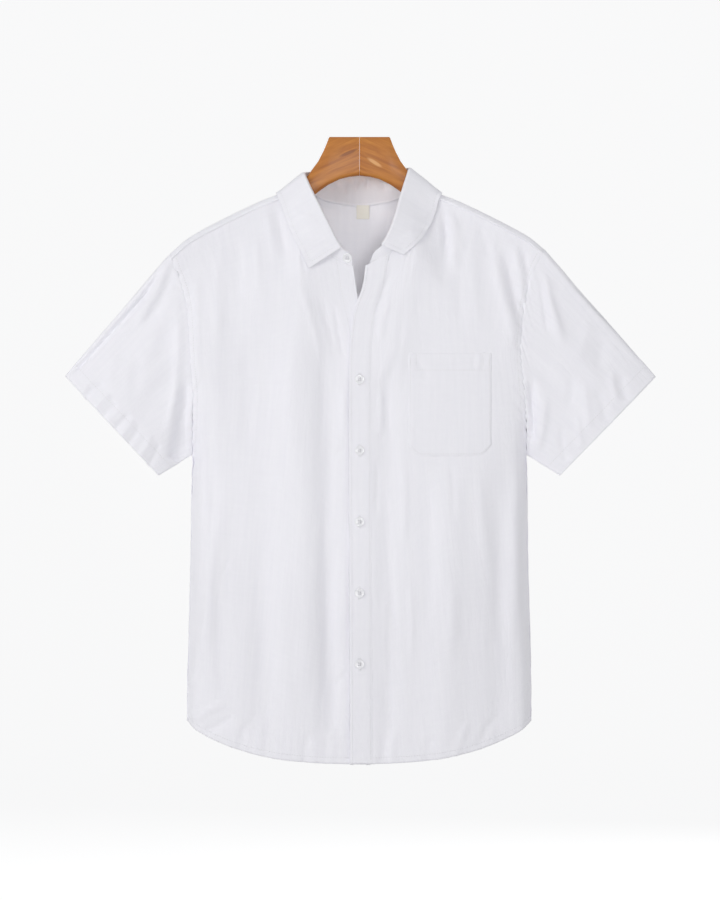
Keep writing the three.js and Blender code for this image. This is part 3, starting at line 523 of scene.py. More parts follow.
SLEEVE_CREASES = {
    "right": [
        fold(2.6, (7, 8), (-250, -158), (-267, -207), (-299, -256)),
        fold(-1.6, (8, 11), (-244, -169), (-263, -213), (-282, -255)),
        fold(-1.8, 12, (-253, -242), (-254, -275), (-255, -305)),
        fold(2.2, (8, 6), (-240, -210), (-238, -276), (-242, -345), (-257, -400)),
        fold(-4.6, (14, 9), (-228, -310), (-232, -368), (-242, -429), end=0.04),
        fold(-3.6, (2.5, 3.5), (-381, -317), (-346, -278), (-313, -242), (-286, -212), (-248, -159),
             start=0.1),
        fold(-1.4, 4.5, (-361, -345), (-349, -333), (-335, -325), start=0.08),
        fold(1.2, 4, (-356, -326), (-364, -337)),
        fold(-1.5, 5, (-340, -374), (-332, -363), (-317, -350), start=0.08),
        fold(1.3, 4, (-348, -360), (-337, -347), (-325, -338), start=0.08),
        fold(-1.6, 5.5, (-324, -389), (-315, -379), (-300, -363), start=0.08),
        fold(1.0, 4.5, (-315, -397), (-306, -384), (-294, -372), start=0.08),
        fold(-1.2, 4.5, (-306, -408), (-298, -397), (-287, -379), start=0.08),
        fold(1.2, 5, (-290, -424), (-279, -408), (-273, -387), start=0.08),
        fold(-1.1, 4, (-277, -434), (-267, -416), (-262, -400), start=0.08),
        fold(1.2, 9, (-316, -284), (-327, -310), (-329, -337)),
        fold(-1.2, 9, (-290, -281), (-295, -321), (-294, -352)),
    ],
    "left": [
        fold(2.6, (6, 9), (240, -170), (251, -219), (269, -279)),
        fold(-1.8, (6, 4), (237, -178), (242, -215), (250, -268)),
        fold(-4.6, (6, 8), (226, -313), (228, -354), (225, -403), end=0.12),
        fold(2.0, (6, 9), (246, -337), (240, -387), (233, -424)),
        fold(-1.4, 7, (278, -310), (279, -335), (275, -363)),
        fold(-1.5, 7, (310, -329), (320, -351), (325, -379), end=0.1),
        fold(-1.3, 6, (344, -310), (346, -331), (353, -350), end=0.1),
        fold(1.3, 6, (295, -321), (299, -354), (302, -387), end=0.1),
        fold(1.1, 5, (331, -305), (333, -329), (340, -350), end=0.1),
        fold(-1.1, 5, (265, -380), (267, -407), (273, -429), end=0.1),
        fold(1.0, 5, (287, -360), (288, -387), (292, -411), end=0.1),
        fold(1.2, 10, (304, -239), (295, -268), (291, -297)),
        fold(-1.1, 8, (324, -260), (317, -284), (315, -310)),
        fold(-1.8, (3.5, 2.5), (265, -176), (304, -218), (344, -260), (377, -297), end=0.1),
    ],
}


BACK_CREASES = [
    fold(2.4, (16, 11), (-150, -190), (-122, -420), (-130, -720)),
    fold(-2.0, 13, (-118, -240), (-96, -460), (-104, -790)),
    fold(-2.6, (12, 16), (96, -170), (122, -480), (104, -800)),
    fold(1.9, 12, (140, -220), (152, -430), (146, -700)),
    fold(1.3, 10, (-36, -110), (-44, -240), (-30, -420)),
    fold(-1.3, 9, (28, -105), (38, -230), (30, -390)),
    fold(1.1, 8, (60, -120), (70, -250), (62, -360)),
    fold(-1.2, 9, (-78, -115), (-74, -210), (-84, -330)),
    fold(2.2, (6, 9), (-212, -190), (-196, -300), (-202, -400)),
    fold(2.3, (9, 6), (208, -180), (192, -290), (198, -385)),
    fold(1.5, 13, (-60, -520), (-52, -660), (-64, -815)),
    fold(-1.5, 12, (12, -560), (4, -690), (16, -820)),
    fold(-1.8, 10, (188, -520), (196, -640), (206, -745)),
    fold(1.6, 10, (-196, -540), (-206, -660), (-214, -760)),
    fold(1.1, 6, (64, -770), (60, -800), (62, -826), end=0.05),
    fold(-1.2, 6, (-140, -765), (-146, -790), (-144, -812), end=0.05),
]


SLEEVE_BACK_CREASES = {
    "right": [
        fold(2.2, (9, 7), (-268, -170), (-290, -250), (-300, -340)),
        fold(-1.9, 8, (-250, -230), (-256, -310), (-262, -400)),
        fold(-3.0, 8, (-236, -330), (-238, -380), (-244, -425)),
        fold(1.5, 7, (-340, -300), (-344, -330), (-352, -345), end=0.1),
        fold(-1.6, 6, (-312, -350), (-318, -375), (-326, -390), end=0.1),
    ],
    "left": [
        fold(2.3, (7, 9), (262, -175), (282, -260), (288, -350)),
        fold(-1.8, 8, (300, -240), (318, -300), (330, -360)),
        fold(-3.2, 8, (236, -335), (240, -380), (246, -425)),
        fold(1.4, 6, (352, -290), (356, -312), (362, -330), end=0.1),
        fold(1.5, 6, (284, -385), (288, -405), (292, -420), end=0.1),
    ],
}


# Down the stand at the back of the neck, where the collar's seam gathers it

STAND_CREASES = [
    fold(1.5, 3.0, (-39, -57), (-36, -70), start=0.6, end=0.2),
    fold(-1.5, 2.4, (-31, -55), (-29, -66), start=0.6),
    fold(1.9, 3.2, (-22, -54), (-18, -74), start=0.6, end=0.2),
    fold(-1.9, 2.2, (-14, -52), (-12, -64), start=0.5),
    fold(2.0, 2.8, (-4, -52), (-6, -70), start=0.5),
    fold(-1.9, 2.2, (3, -52), (5, -63), start=0.5),
    fold(2.0, 2.6, (11, -52), (10, -68), start=0.5),
    fold(-0.9, 2.6, (20, -54), (24, -70), start=0.5),
    fold(1.7, 3.0, (30, -55), (32, -72), start=0.6),
    fold(-1.4, 3.0, (41, -58), (45, -72), start=0.6),
]


# Across the collar leaf, between its fold and its outer edge

COLLAR_CREASES = [
    fold(0.75, 3.4, (-74, -142), (-56, -139), (-38, -138)),
    fold(-0.55, 2.6, (-72, -149), (-58, -147)),
    fold(-0.5, 3, (-52, -139), (-44, -146), (-38, -141)),
    fold(0.6, 4, (-92, -96), (-76, -104), (-60, -106)),
    fold(-0.6, 4, (-100, -110), (-88, -116), (-70, -118)),
    fold(0.6, 4, (96, -96), (82, -108), (66, -114)),
    fold(-0.6, 3.6, (92, -118), (76, -122), (56, -124)),
    fold(0.6, 3.4, (80, -136), (62, -134), (48, -136)),
]


def edge_distances(grid, side):
    """How far each point lies in from one side of a grid, and how far along that side."""
    axis = 0 if side in ("top", "bottom") else 1
    inward = runs(grid, axis)
    if side in ("bottom", "end"):
        inward = inward.max(axis=axis, keepdims=True) - inward
    return inward, runs(grid, 1 - axis)


def seam_puckers(grid, side, pitch, depth, reach, stretch=(0, FAR)):
    """Small gathers along a seam or hem, about a pitch apart, in uneven sizes and leans. They
    reach some way in from it, and keep to the stretch of it between two distances."""
    inward, along = edge_distances(grid, side)
    low, high = max(stretch[0], 0), min(stretch[1], along.max())
    places = low + np.cumsum(rng.uniform(0.5, 1.6, int((high - low) / pitch) + 2)) * pitch
    height = np.zeros(grid.shape[:2])
    for place in places[places < high]:
        size = rng.uniform(0.35, 1.0)
        lean = rng.uniform(-0.4, 0.4)
        off = (along - place - lean * inward) / (pitch * 0.3 * (0.6 + size))
        height -= depth * size * np.exp(-off * off - (inward / (reach * size)) ** 2)
    return height


def settled(grid, side, depth, reach=3.0):
    """Lets one edge of a sewn-on piece sink towards the cloth under it."""
    inward, _ = edge_distances(grid, side)
    return -depth * np.exp(-(inward / reach) ** 2)


# Materials

def add_node(tree, kind, settings=None, **links):
    """Adds a node with its settings. Its inputs, named as in Blender with _ for a space, or
    numbered as i0, i1 and so on, are set to values or linked to other nodes' outputs."""
    node = tree.nodes.new(kind)
    for key, value in (settings or {}).items():
        setattr(node, key, value)
    for name, value in links.items():
        numbered = name[0] == "i" and name[1:].isdigit()
        socket = node.inputs[int(name[1:])] if numbered else node.inputs[name.replace("_", " ")]
        if isinstance(value, bpy.types.NodeSocket):
            tree.links.new(value, socket)
        else:
            socket.default_value = value
    return node


def new_material(name, **uniform):
    """A material with a shader whose own sockets take the values that are the same all over."""
    material = bpy.data.materials.new(name)
    material.use_nodes = True
    tree = material.node_tree
    shader = next(n for n in tree.nodes if n.type == "BSDF_PRINCIPLED")
    for key, value in uniform.items():
        shader.inputs[key.replace("_", " ")].default_value = value
    return material, tree, shader


def maths(tree, operation, *values):
    """The result of one step of arithmetic on numbers or other nodes' outputs."""
    inputs = {f"i{k}": value for k, value in enumerate(values)}
    return add_node(tree, "ShaderNodeMath", {"operation": operation}, **inputs).outputs[0]


def noise(tree, place, size, **settings):
    """Noise whose spots are as long along x, y and z as size says, in metres."""
    scale = [1 / length for length in size]
    mapped = add_node(tree, "ShaderNodeMapping", Vector=place, Scale=scale).outputs[0]
    return add_node(tree, "ShaderNodeTexNoise", Vector=mapped, Scale=1.0, **settings).outputs["Fac"]


def blended(tree, share, first, second):
    """A colour between two, each an sRGB hex value or another node's output."""
    first, second = (linear(c) if isinstance(c, str) else c for c in (first, second))
    mixed = add_node(tree, "ShaderNodeMix", {"data_type": "RGBA"}, i0=share, i6=first, i7=second)
    return mixed.outputs[2]


def paint(tree, shader, colour, height=None, **bump):
    """Gives a shader its colour and, where there is a height, its relief."""
    tree.links.new(colour, shader.inputs["Base Color"])
    if height is not None:
        relief = add_node(tree, "ShaderNodeBump", Height=height, **bump).outputs[0]
        tree.links.new(relief, shader.inputs["Normal"])


def plain_woven_linen():
    """Plain-woven linen, washed white. To the eye: a matt, faintly cool white with
    thick and thin yarns running as short streaks both ways, mostly down the cloth."""
    material, tree, shader = new_material(
        "plain_woven_linen", Roughness=0.88, Specular_IOR_Level=0.25, Sheen_Weight=0.18,
        Sheen_Roughness=0.6, Subsurface_Weight=0.35, Subsurface_Scale=0.0005,
        Subsurface_Radius=(1.0, 1.0, 1.0),
    )
    cloth = add_node(tree, "ShaderNodeUVMap", {"uv_map": "cloth"}).outputs["UV"]
    # Slubs, the thick stretches of a linen yarn, are 0.5 mm wide and 20 to 80 mm long. They are
    # drawn about 4 mm wide, because a thinner one doesn't show in the render.
    warp = noise(tree, cloth, (0.0042, 0.09, 1), Detail=3.0, Roughness=0.62)
    weft = noise(tree, cloth, (0.05, 0.0042, 1), Detail=3.0, Roughness=0.62)
    streaks = maths(tree, "MULTIPLY_ADD", weft, 0.45, warp)
    # Threads are 0.5 mm apart. They are drawn 1.7 mm apart for the same reason.
    grain = 2 * math.pi / 0.0017
    parts = add_node(tree, "ShaderNodeSeparateXYZ", Vector=cloth).outputs
    waves = [maths(tree, "SINE", maths(tree, "MULTIPLY", parts[axis], grain)) for axis in "XY"]
    weave = maths(tree, "MULTIPLY", *waves)
    # Fine crumples of washed linen, 5 to 30 mm across
    crumple = noise(tree, cloth, (0.013, 0.032, 1), Detail=3.5, Roughness=0.5, Distortion=0.8)
    tone = add_node(tree, "ShaderNodeMapRange", {"clamp": True}, Value=streaks,
                    From_Min=0.25, From_Max=1.2).outputs[0]
    height = maths(tree, "MULTIPLY_ADD", weave, 0.10, streaks)
    height = maths(tree, "MULTIPLY_ADD", crumple, 3.4, height)
    colour = blended(tree, tone, "#F1F0F7", "#F8F7FD")
    paint(tree, shader, colour, height, Strength=0.24, Distance=0.0009)
    return material


def sewing_thread():
    """Spun polyester sewing thread, a little glossier and whiter than the linen."""
    material, tree, shader = new_material("white_sewing_thread", Roughness=0.55, Specular_IOR_Level=0.4)
    place = add_node(tree, "ShaderNodeTexCoord").outputs["Object"]
    # Its plies show as a mottle of about 1 mm.
    mottle = add_node(tree, "ShaderNodeTexNoise", Vector=place, Scale=900.0, Detail=2.0).outputs["Fac"]
    paint(tree, shader, blended(tree, mottle, "#E6E5EA", "#F6F6F8"))
    return material


def woven_label_tape():
    """Woven cotton tape, soft cream, with fine ribs across it."""
    material, tree, shader = new_material("woven_cotton_tape", Roughness=0.8, Specular_IOR_Level=0.3)
    cloth = add_node(tree, "ShaderNodeUVMap", {"uv_map": "cloth"}).outputs["UV"]
    # The scale gives a rib about every 1.1 mm.
    ribs = add_node(tree, "ShaderNodeTexWave", {"bands_direction": "Y"}, Vector=cloth,
                    Scale=1 / 0.0011 / 3.14, Distortion=0.4).outputs["Fac"]
    colour = blended(tree, ribs, "#E9E5DA", "#F4F1E8")
    paint(tree, shader, colour, ribs, Strength=0.4, Distance=0.0002)
    return material


def pearly_button():
    """Polished polyester button with a faint pearl: smooth, bright, softly clouded."""
    material, tree, shader = new_material(
        "polished_pearl_button", Roughness=0.22, IOR=1.53, Coat_Weight=0.35, Coat_Roughness=0.12,
    )
    place = add_node(tree, "ShaderNodeTexCoord").outputs["Object"]
    # The clouds are about 4 mm across.
    clouds = add_node(tree, "ShaderNodeTexNoise", Vector=place, Scale=260.0, Detail=3.0,
                      Distortion=1.2).outputs["Fac"]
    paint(tree, shader, blended(tree, clouds, "#E4E3E8", "#FAFAFB"))
    return material


def wood_streak_and_glint(tree, place, middle, length, width, tilt):
    """A long soft spot in the wood's colour, for a dark streak and for a painted highlight: in
    millimetres from its middle to its ends and sides, tilted up towards +x by some degrees."""
    spot = add_node(
        tree, "ShaderNodeMapping", {"vector_type": "TEXTURE"}, Vector=place,
        Location=(middle[0] * MM, 0, middle[1] * MM), Rotation=(0, -math.radians(tilt), 0),
        Scale=(length * MM, 1, width * MM)).outputs[0]
    ball = add_node(tree, "ShaderNodeTexGradient", {"gradient_type": "SPHERICAL"}, Vector=spot)
    return add_node(tree, "ShaderNodeMapRange", {"clamp": True}, Value=ball.outputs["Fac"],
                    From_Min=0.0, From_Max=0.45, To_Min=0.0, To_Max=0.8).outputs[0]


def varnished_wood():
    """Lotus or beech wood, turned and varnished: honey brown, with grain along the arm."""
    material, tree, shader = new_material(
        "varnished_honey_wood", Roughness=0.5, IOR=1.45, Coat_Weight=0.2, Coat_Roughness=0.25,
    )
    place = add_node(tree, "ShaderNodeTexCoord").outputs["Object"]
    # The two arms mirror each other, and the grain of each slopes down to its tip.
    parts = add_node(tree, "ShaderNodeSeparateXYZ", Vector=place).outputs
    mirrored = add_node(tree, "ShaderNodeCombineXYZ", X=maths(tree, "ABSOLUTE", parts["X"]),
                        Y=parts["Y"], Z=parts["Z"]).outputs[0]
    slope = (0, math.radians(-24), 0)
    sloped = add_node(tree, "ShaderNodeMapping", Vector=mirrored, Rotation=slope).outputs[0]
    # Grain lines are 2 to 6 mm apart and 60 to 120 mm long.
    lines = noise(tree, sloped, (0.075, 0.02, 0.0075), Detail=5.0, Roughness=0.6, Distortion=0.5)
    ramp = add_node(tree, "ShaderNodeValToRGB", Fac=lines)
    stops = ramp.color_ramp.elements
    stops.new(0.5)
    for stop, position, colour in zip(stops, (0.3, 0.5, 0.72), ("#A05A1A", "#BA7225", "#CE8A37")):
        stop.position = position
        stop.color = linear(colour)
    dark = wood_streak_and_glint(tree, place, (-14.5, -21.1), 15.5, 2.7, 23)
    # A painted highlight: a pale glint of light on the varnish of the +x arm, put into the wood's
    # colour.
    painted_glint = wood_streak_and_glint(tree, place, (20.0, -33.7), 13, 2.9, -32)
    colour = blended(tree, dark, ramp.outputs["Color"], "#7E431A")
    colour = blended(tree, painted_glint, colour, "#E2AC6C")
    paint(tree, shader, colour, lines, Strength=0.15, Distance=0.0003)
    return material


def pale_paper():
    """Matt white paper sweep behind and under the shirt, evenly pale wherever it is seen."""
    material, _, shader = new_material("matt_paper_sweep", Roughness=0.95, Specular_IOR_Level=0.0)
    shader.inputs["Base Color"].default_value = linear("#B4B4B4")
    shader.inputs["Emission Color"].default_value = (1, 1, 1, 1)
    shader.inputs["Emission Strength"].default_value = 0.68
    return material


linen = plain_woven_linen()
thread = sewing_thread()
tape = woven_label_tape()
pearl = pearly_button()
wood = varnished_wood()
paper = pale_paper()


# Places on a sheet

def on_cloth(grid, normals, x, z):
    """The point of a sheet's front at x and z, with its normal."""
    near = np.hypot(grid[..., 0] - x, grid[..., 2] - z) + (normals[..., 1] > 0) * FAR
    place = np.unravel_index(near.argmin(), near.shape)
    point, normal = grid[place], normals[place]
    y = point[1] - ((x - point[0]) * normal[0] + (z - point[2]) * normal[2]) / normal[1]
    return np.concatenate([[x, y, z], normal])


def short_lines(grid, normals, ends):
    """Short sewn lines on a sheet, from pairs of ends in x and z."""
    lines = []
    for start, end in ends:
        steps = np.linspace(0, 1, 3)[:, None] * (np.array(end) - np.array(start)) + np.array(start)
        lines.append(np.array([on_cloth(grid, normals, x, z) for x, z in steps]))
    return lines


# The pieces

SHOULDER_END = {"left": (241.5, -153.5), "right": (-247.3, -159.4)}
CORNER_Y = -31  # where to look for the back's corners, at the ends of the shoulder seams
HEM = {"body": 9, "opening": 6, "sleeve": 20}  # how deep each is turned in
COLLAR_MIDDLE = 10  # the y that parts the collar's front from its back
ARMHOLE = (10, 330)  # from the shoulder down, along a panel's side
SIDE_SEAM = (340, 700)


def front_shape(node, first, last, rows, columns, sunk=0):
    """A grid on the fronts, moved by the creases that all pieces on the fronts share. One
    that is sewn on is sunk a little, because cloth lies closer than the CAD's walls do."""
    grid = finer(panel_grid(node, first, last), rows, columns)
    return raised(grid, crease_height(FRONT_CREASES, grid) - sunk)


def raised(grid, height, around=False):
    """A grid moved out along its normals, with its new normals."""
    grid = grid + grid_normals(grid, around) * height[..., None]
    return grid, grid_normals(grid, around)


def make_front(side):
    """One front panel, from the shoulder and neck to the hem. It hands back its surface."""
    sign = 1 if side == "left" else -1
    neck = (sign * 8, -171)
    shoulder = SHOULDER_END[side]
    first, last = (shoulder, neck) if sign > 0 else (neck, shoulder)
    seam_side, free_side = ("start", "end") if sign > 0 else ("end", "start")
    grid, normals = front_shape(f"front_{side}", first, last, 262, 96)
    height = seam_puckers(grid, seam_side, 9, 1.9, 12, stretch=ARMHOLE)
    height += seam_puckers(grid, seam_side, 26, 0.8, 12, stretch=SIDE_SEAM)
    height += seam_puckers(grid, "bottom", 15, 1.0, 13)
    height += seam_puckers(grid, "top", 17, 0.7, 14)
    if side == "right":
        height += seam_puckers(grid, free_side, 19, 0.6, 12)
        height += crease_height(LAP_CREASES, grid)
    surface = grid, normals = raised(grid, height)
    lines = [
        inset_line(grid, normals, "bottom", 8),
        inset_line(grid, normals, seam_side, 6, skip=(4, 350)),
    ]
    if side == "right":
        lines.append(inset_line(grid, normals, free_side, 24))
    grid, normals = hem_edge(grid, normals, "bottom", HEM["body"])
    grid, normals = seam_edge(grid, normals, seam_side)
    grid, normals = seam_edge(grid, normals, "top", out=0.7, under=0.35)
    grid, normals = hem_edge(grid, normals, free_side, HEM["opening"])
    piece = cloth_piece(f"cloth_front_{side}", grid, linen)
    show(piece, "linen", f"front_{side}")
    stitched(f"stitches_front_{side}", lines, thread)
    return surface


def make_back():
    """The back, one panel that comes over the shoulders to the fronts."""
    ends = [(*SHOULDER_END[side], CORNER_Y) for side in ("right", "left")]
    grid = finer(panel_grid("back", *ends), 250, 170)
    height = crease_height(BACK_CREASES, grid)
    height += seam_puckers(grid, "bottom", 16, 1.0, 13)
    for seam in ("start", "end"):
        height += seam_puckers(grid, seam, 12, 1.0, 13, stretch=ARMHOLE)
        height += seam_puckers(grid, seam, 27, 0.8, 12, stretch=SIDE_SEAM)
    grid, normals = raised(grid, height)
    lines = [inset_line(grid, normals, "bottom", 8)]
    grid, normals = hem_edge(grid, normals, "bottom", HEM["body"])
    for side, out, under in (("start", 1.0, 0.7), ("end", 1.0, 0.7), ("top", 2.4, 1.3)):
        grid, normals = seam_edge(grid, normals, side, out, under)
    piece = cloth_piece("cloth_back", grid, linen)
    show(piece, "linen", "back")
    stitched("stitches_back", lines, thread)


def make_sleeve(side):
    """One short sleeve, a tube with a deep hem turned up inside."""
    grid = finer(tube_grid(f"sleeve_{side}"), 84, 200, around=True)
    facing_front = smooth(0.5 - 1.4 * grid_normals(grid, around=True)[..., 1])
    front = crease_height(SLEEVE_CREASES[side], grid)
    behind = crease_height(SLEEVE_BACK_CREASES[side], grid)
    # Creases fade out at the armhole, so that the seam stays closed.
    from_seam, _ = edge_distances(grid, "top")
    fading = 0.15 + 0.85 * smooth(from_seam / 10)
    height = (front * facing_front + behind * (1 - facing_front)) * fading
    height += seam_puckers(grid, "top", 10, 1.1, 12)
    height += seam_puckers(grid, "bottom", 25, 0.6, 15)
    grid, normals = raised(grid, height, around=True)
    lines = [inset_line(grid, normals, "bottom", HEM["sleeve"])]
    grid, normals = hem_edge(grid, normals, "bottom", HEM["sleeve"])
    grid, normals = seam_edge(grid, normals, "top", out=3.4, under=1.6)
    piece = cloth_piece(f"cloth_sleeve_{side}", grid, linen, around=True)
    show(piece, "linen", f"sleeve_{side}")
    stitched(f"stitches_sleeve_{side}", lines, thread)


def make_stand():
    """The collar's stand, the band round the neck. Its creases are at the back only."""
    grid = finer(panel_grid("collar_stand", (-8.6, -165.5), (13.6, -167)), 20, 260)
    height = crease_height(STAND_CREASES, grid) * (grid[..., 1] > COLLAR_MIDDLE)
    grid, normals = raised(grid, height + seam_puckers(grid, "bottom", 9, 0.55, 12))
    lines = [inset_line(grid, normals, "bottom", 2, skip=(3, 3))]
    grid, normals = seam_edge(grid, normals, "bottom", out=1.8, under=1.0)
    piece = cloth_piece("cloth_collar_stand", grid, linen)
    show(piece, "linen", "collar_stand")
    stitched("stitches_stand", lines, thread, pitch=2.8, length=2.0)


def make_leaf():
    """The collar's turned-down leaf. Its creases are at the front only."""
    grid = finer(panel_grid("collar_leaf", (-21, -145.3), (26.1, -142.3)), 44, 260)
    height = crease_height(COLLAR_CREASES, grid) * (grid[..., 1] < COLLAR_MIDDLE)
    height += seam_puckers(grid, "bottom", 14, 0.45, 9)
    grid, normals = raised(grid, height)
    edges = (("bottom", (6, 6)), ("start", (8, 6)), ("end", (8, 6)))
    lines = [inset_line(grid, normals, side, 6, skip) for side, skip in edges]
    piece = cloth_piece("cloth_collar_leaf", grid, linen)
    show(piece, "linen", "collar_leaf")
    stitched("stitches_collar", lines, thread)


BUTTON_Z = [-320.2, -413.7, -507.2, -600.7, -694.2]
BUTTONHOLE = {"length": 15.5, "slit": 0.35, "reach": 1.7, "pitch": 0.8}


def buttonhole_ends(x, z):
    """The ends of the close stitches round an upright buttonhole."""
    half = BUTTONHOLE["length"] / 2
    near, far = BUTTONHOLE["slit"], BUTTONHOLE["slit"] + BUTTONHOLE["reach"]
    ends = []
    for rise in np.arange(-half, half, BUTTONHOLE["pitch"]):
        ends.append(((x - far, z + rise), (x - near, z + rise)))
        ends.append(((x + near, z + rise), (x + far, z + rise)))
    for end in (-half - 0.4, half + 0.4):
        ends.append(((x - far, z + end), (x, z + end)))
        ends.append(((x, z + end), (x + far, z + end)))
    return ends


def band_top(grid, front):
    """Carries the band on up to the collar's seam, over the front it is sewn to. It goes
    up 2 mm at its free edge, at x 9, and 15 mm at its seam, 28 mm further out."""
    rows = []
    first = grid[0]
    reach = np.clip((first[:, 0] - 9) / 28, 0, 1)
    clear = 0.85
    for t in (1.0, 0.75, 0.5, 0.25):
        row = first.copy()
        row[:, 2] += t * (2 + 13 * reach)
        row[:, 0] += t * 2.5 * reach
        for point in row:
            point[1] = on_cloth(*front, point[0], point[2])[1] - clear
        rows.append(row)
    return np.concatenate([np.array(rows), grid])


def make_band(front):
    """The button band down the left front, with its buttonholes."""
    grid, normals = front_shape("button_band", (36.7, -167), (7.95, -172.5), 262, 18, sunk=1.05)
    puckers = seam_puckers(grid, "end", 21, 0.6, 8) + seam_puckers(grid, "start", 23, 0.35, 8)
    edges = settled(grid, "start", 0.5) - settled(grid, "end", 0.45)
    grid, normals = raised(grid, puckers + edges)
    grid = band_top(grid, front)
    normals = grid_normals(grid)
    holes = short_lines(grid, normals, [pair for z in BUTTON_Z for pair in buttonhole_ends(0.3, z)])
    stitched("stitches_buttonholes", holes, thread, pitch=1.66, length=1.6)
    insets = (("start", 2.6), ("end", 3.0))
    lines = [inset_line(grid, normals, side, inset, (2, 2)) for side, inset in insets]
    grid, normals = seam_edge(grid, normals, "start", out=2.2, under=0.9)
    grid, _ = seam_edge(grid, normals, "end", out=0.4, under=0.6)
    piece = cloth_piece("cloth_button_band", grid, linen, thickness=SEWN_ON_CLOTH)
    show(piece, "linen", "button_band")
    stitched("stitches_band", lines, thread)


def make_pocket():
    """The patch pocket, with its top hem and the sewn bars at its top corners."""
    grid, normals = front_shape("pocket", (173.1, -286.2), (64.4, -286.2), 64, 52, sunk=1.1)
    puckers = seam_puckers(grid, "start", 13, 0.5, 7) + seam_puckers(grid, "end", 14, 0.5, 7)
    puckers += seam_puckers(grid, "bottom", 12, 0.5, 8)
    puckers += crease_height(POCKET_CREASES, grid)
    edges = settled(grid, "end", 0.5) + settled(grid, "top", 0.45) + settled(grid, "bottom", 0.25)
    grid, normals = raised(grid, puckers + edges)
    insets = (("top", 22), ("start", 2.5), ("end", 2.5), ("bottom", 2.5))
    lines = [inset_line(grid, normals, side, inset, (2, 2)) for side, inset in insets]
    bars = short_lines(grid, normals, [((x, -287.5), (x, -302.5)) for x in (170.6, 163.0, 66.9, 74.5)])
    stitched("stitches_pocket_bars", bars, thread, pitch=1.5, length=1.45)
    for side, out in (("start", 0.4), ("end", 1.6), ("bottom", 0.9), ("top", 1.2)):
        grid, normals = seam_edge(grid, normals, side, out=out, under=0.6)
    piece = cloth_piece("cloth_pocket", grid, linen, thickness=SEWN_ON_CLOTH)
    show(piece, "linen", "pocket")
    stitched("stitches_pocket", lines, thread)


def make_label():
    """The blank label inside the neck."""
    grid = finer(panel_grid("label", (13.1, -88), (-3.9, -88), facing=-1, wall=0.8), 24, 22)
    piece = cloth_piece("cloth_label", grid, tape, thickness=0.6)
    show(piece, "label", "label")


# Buttons, in millimetres until they are in place

BUTTON = {"radius": 6.2, "depth": 2.1, "rim": 1.15, "dish": 0.5, "hole": 0.78, "ring": 1.3}


def pick(piece, wanted):
    """Selects the faces of a piece in edit mode that the function wants."""
    shape = bmesh.from_edit_mesh(piece.data)
    for face in shape.faces:
        face.select_set(bool(wanted(face)))
    bmesh.update_edit_mesh(piece.data)


def shaped_button():
    """A button face up at the origin: a disc with a raised rim, a dish and four holes."""
    deselect()
    depth = BUTTON["depth"]
    bpy.ops.mesh.primitive_cylinder_add(vertices=40, radius=BUTTON["radius"], depth=depth,
                                        location=(0, 0, depth / 2))
    button = bpy.context.object
    bpy.ops.object.mode_set(mode="EDIT")
    bpy.ops.mesh.select_mode(type="FACE")
    pick(button, lambda face: face.normal.z > 0.9)
    bpy.ops.mesh.inset(thickness=BUTTON["rim"])
    bpy.ops.mesh.inset(thickness=0.4, depth=-BUTTON["dish"])
    pick(button, lambda face: face.normal.z < -0.9)
    bpy.ops.mesh.inset(thickness=0.7, depth=0.3)
    bpy.ops.object.mode_set(mode="OBJECT")
    for x in (-1, 1):
        for z in (-1, 1):
            deselect()
            place = (x * BUTTON["ring"], z * BUTTON["ring"], depth / 2)
            bpy.ops.mesh.primitive_cylinder_add(vertices=14, radius=BUTTON["hole"], depth=6,
                                                location=place)
            drill = bpy.context.object
            finish_modifier(button, "BOOLEAN", object=drill, operation="DIFFERENCE",
                            solver="EXACT")
            bpy.data.objects.remove(drill)
    finish_modifier(button, "BEVEL", width=0.16, segments=2, limit_method="ANGLE",
                    angle_limit=math.radians(35))
    make_active(button)
    bpy.ops.object.shade_smooth_by_angle(angle=SMOOTH_ANGLE)
    return button


# A strand's thickness and distance from the next, its loop against the ring of holes, how
# flat the loop lies, and how high it sits as a share of the button's depth
STRAND = {"radius": 0.2, "apart": 0.32, "loop": 1.35, "flat": 0.72, "height": 0.42}


def button_thread():
    """The thread through a button's holes: two crossed bundles of three strands each."""
    strands = []
    for turn in (math.pi / 4, -math.pi / 4):
        for aside in (-STRAND["apart"], 0.0, STRAND["apart"]):
            deselect()
            bpy.ops.mesh.primitive_torus_add(
                major_radius=BUTTON["ring"] * STRAND["loop"], minor_radius=STRAND["radius"],
                major_segments=20, minor_segments=6)
            strand = bpy.context.object
            strand.rotation_euler = (math.pi / 2, 0, turn)
            strand.scale = (1, STRAND["flat"], 1)
            height = BUTTON["depth"] * STRAND["height"]
            strand.location = (-aside * math.sin(turn), aside * math.cos(turn), height)
            bpy.ops.object.transform_apply(location=True, rotation=True, scale=True)
            strands.append(strand)
    deselect()
    for strand in strands:
        strand.select_set(True)
    bpy.context.view_layer.objects.active = strands[0]
    bpy.ops.object.join()
    sewn = bpy.context.object
    sewn.data.shade_smooth()
    return sewn


def button_place(node):
    """The matrix that puts a button in a CAD button's place, with its back on the cloth."""
    points = np.array([v.co[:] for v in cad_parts[node].data.vertices])
    low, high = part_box(node)
    middle = (Vector(low) + Vector(high)) / 2
    spread = np.cov((points - points.mean(0)).T)
    normal = Vector(np.linalg.eigh(spread)[1][:, 0])
    if normal.y > 0:
        normal = -normal
    aside = Vector((1, 0, 0)) - normal * normal.x
    aside.normalize()
    up = normal.cross(aside)
    turn = Matrix((aside, up, normal)).transposed().to_4x4()
    sunk = 0.1
    middle -= normal * (BUTTON["depth"] / 2 + sunk) * MM
    return Matrix.Translation(middle) @ turn @ Matrix.Scale(MM, 4)


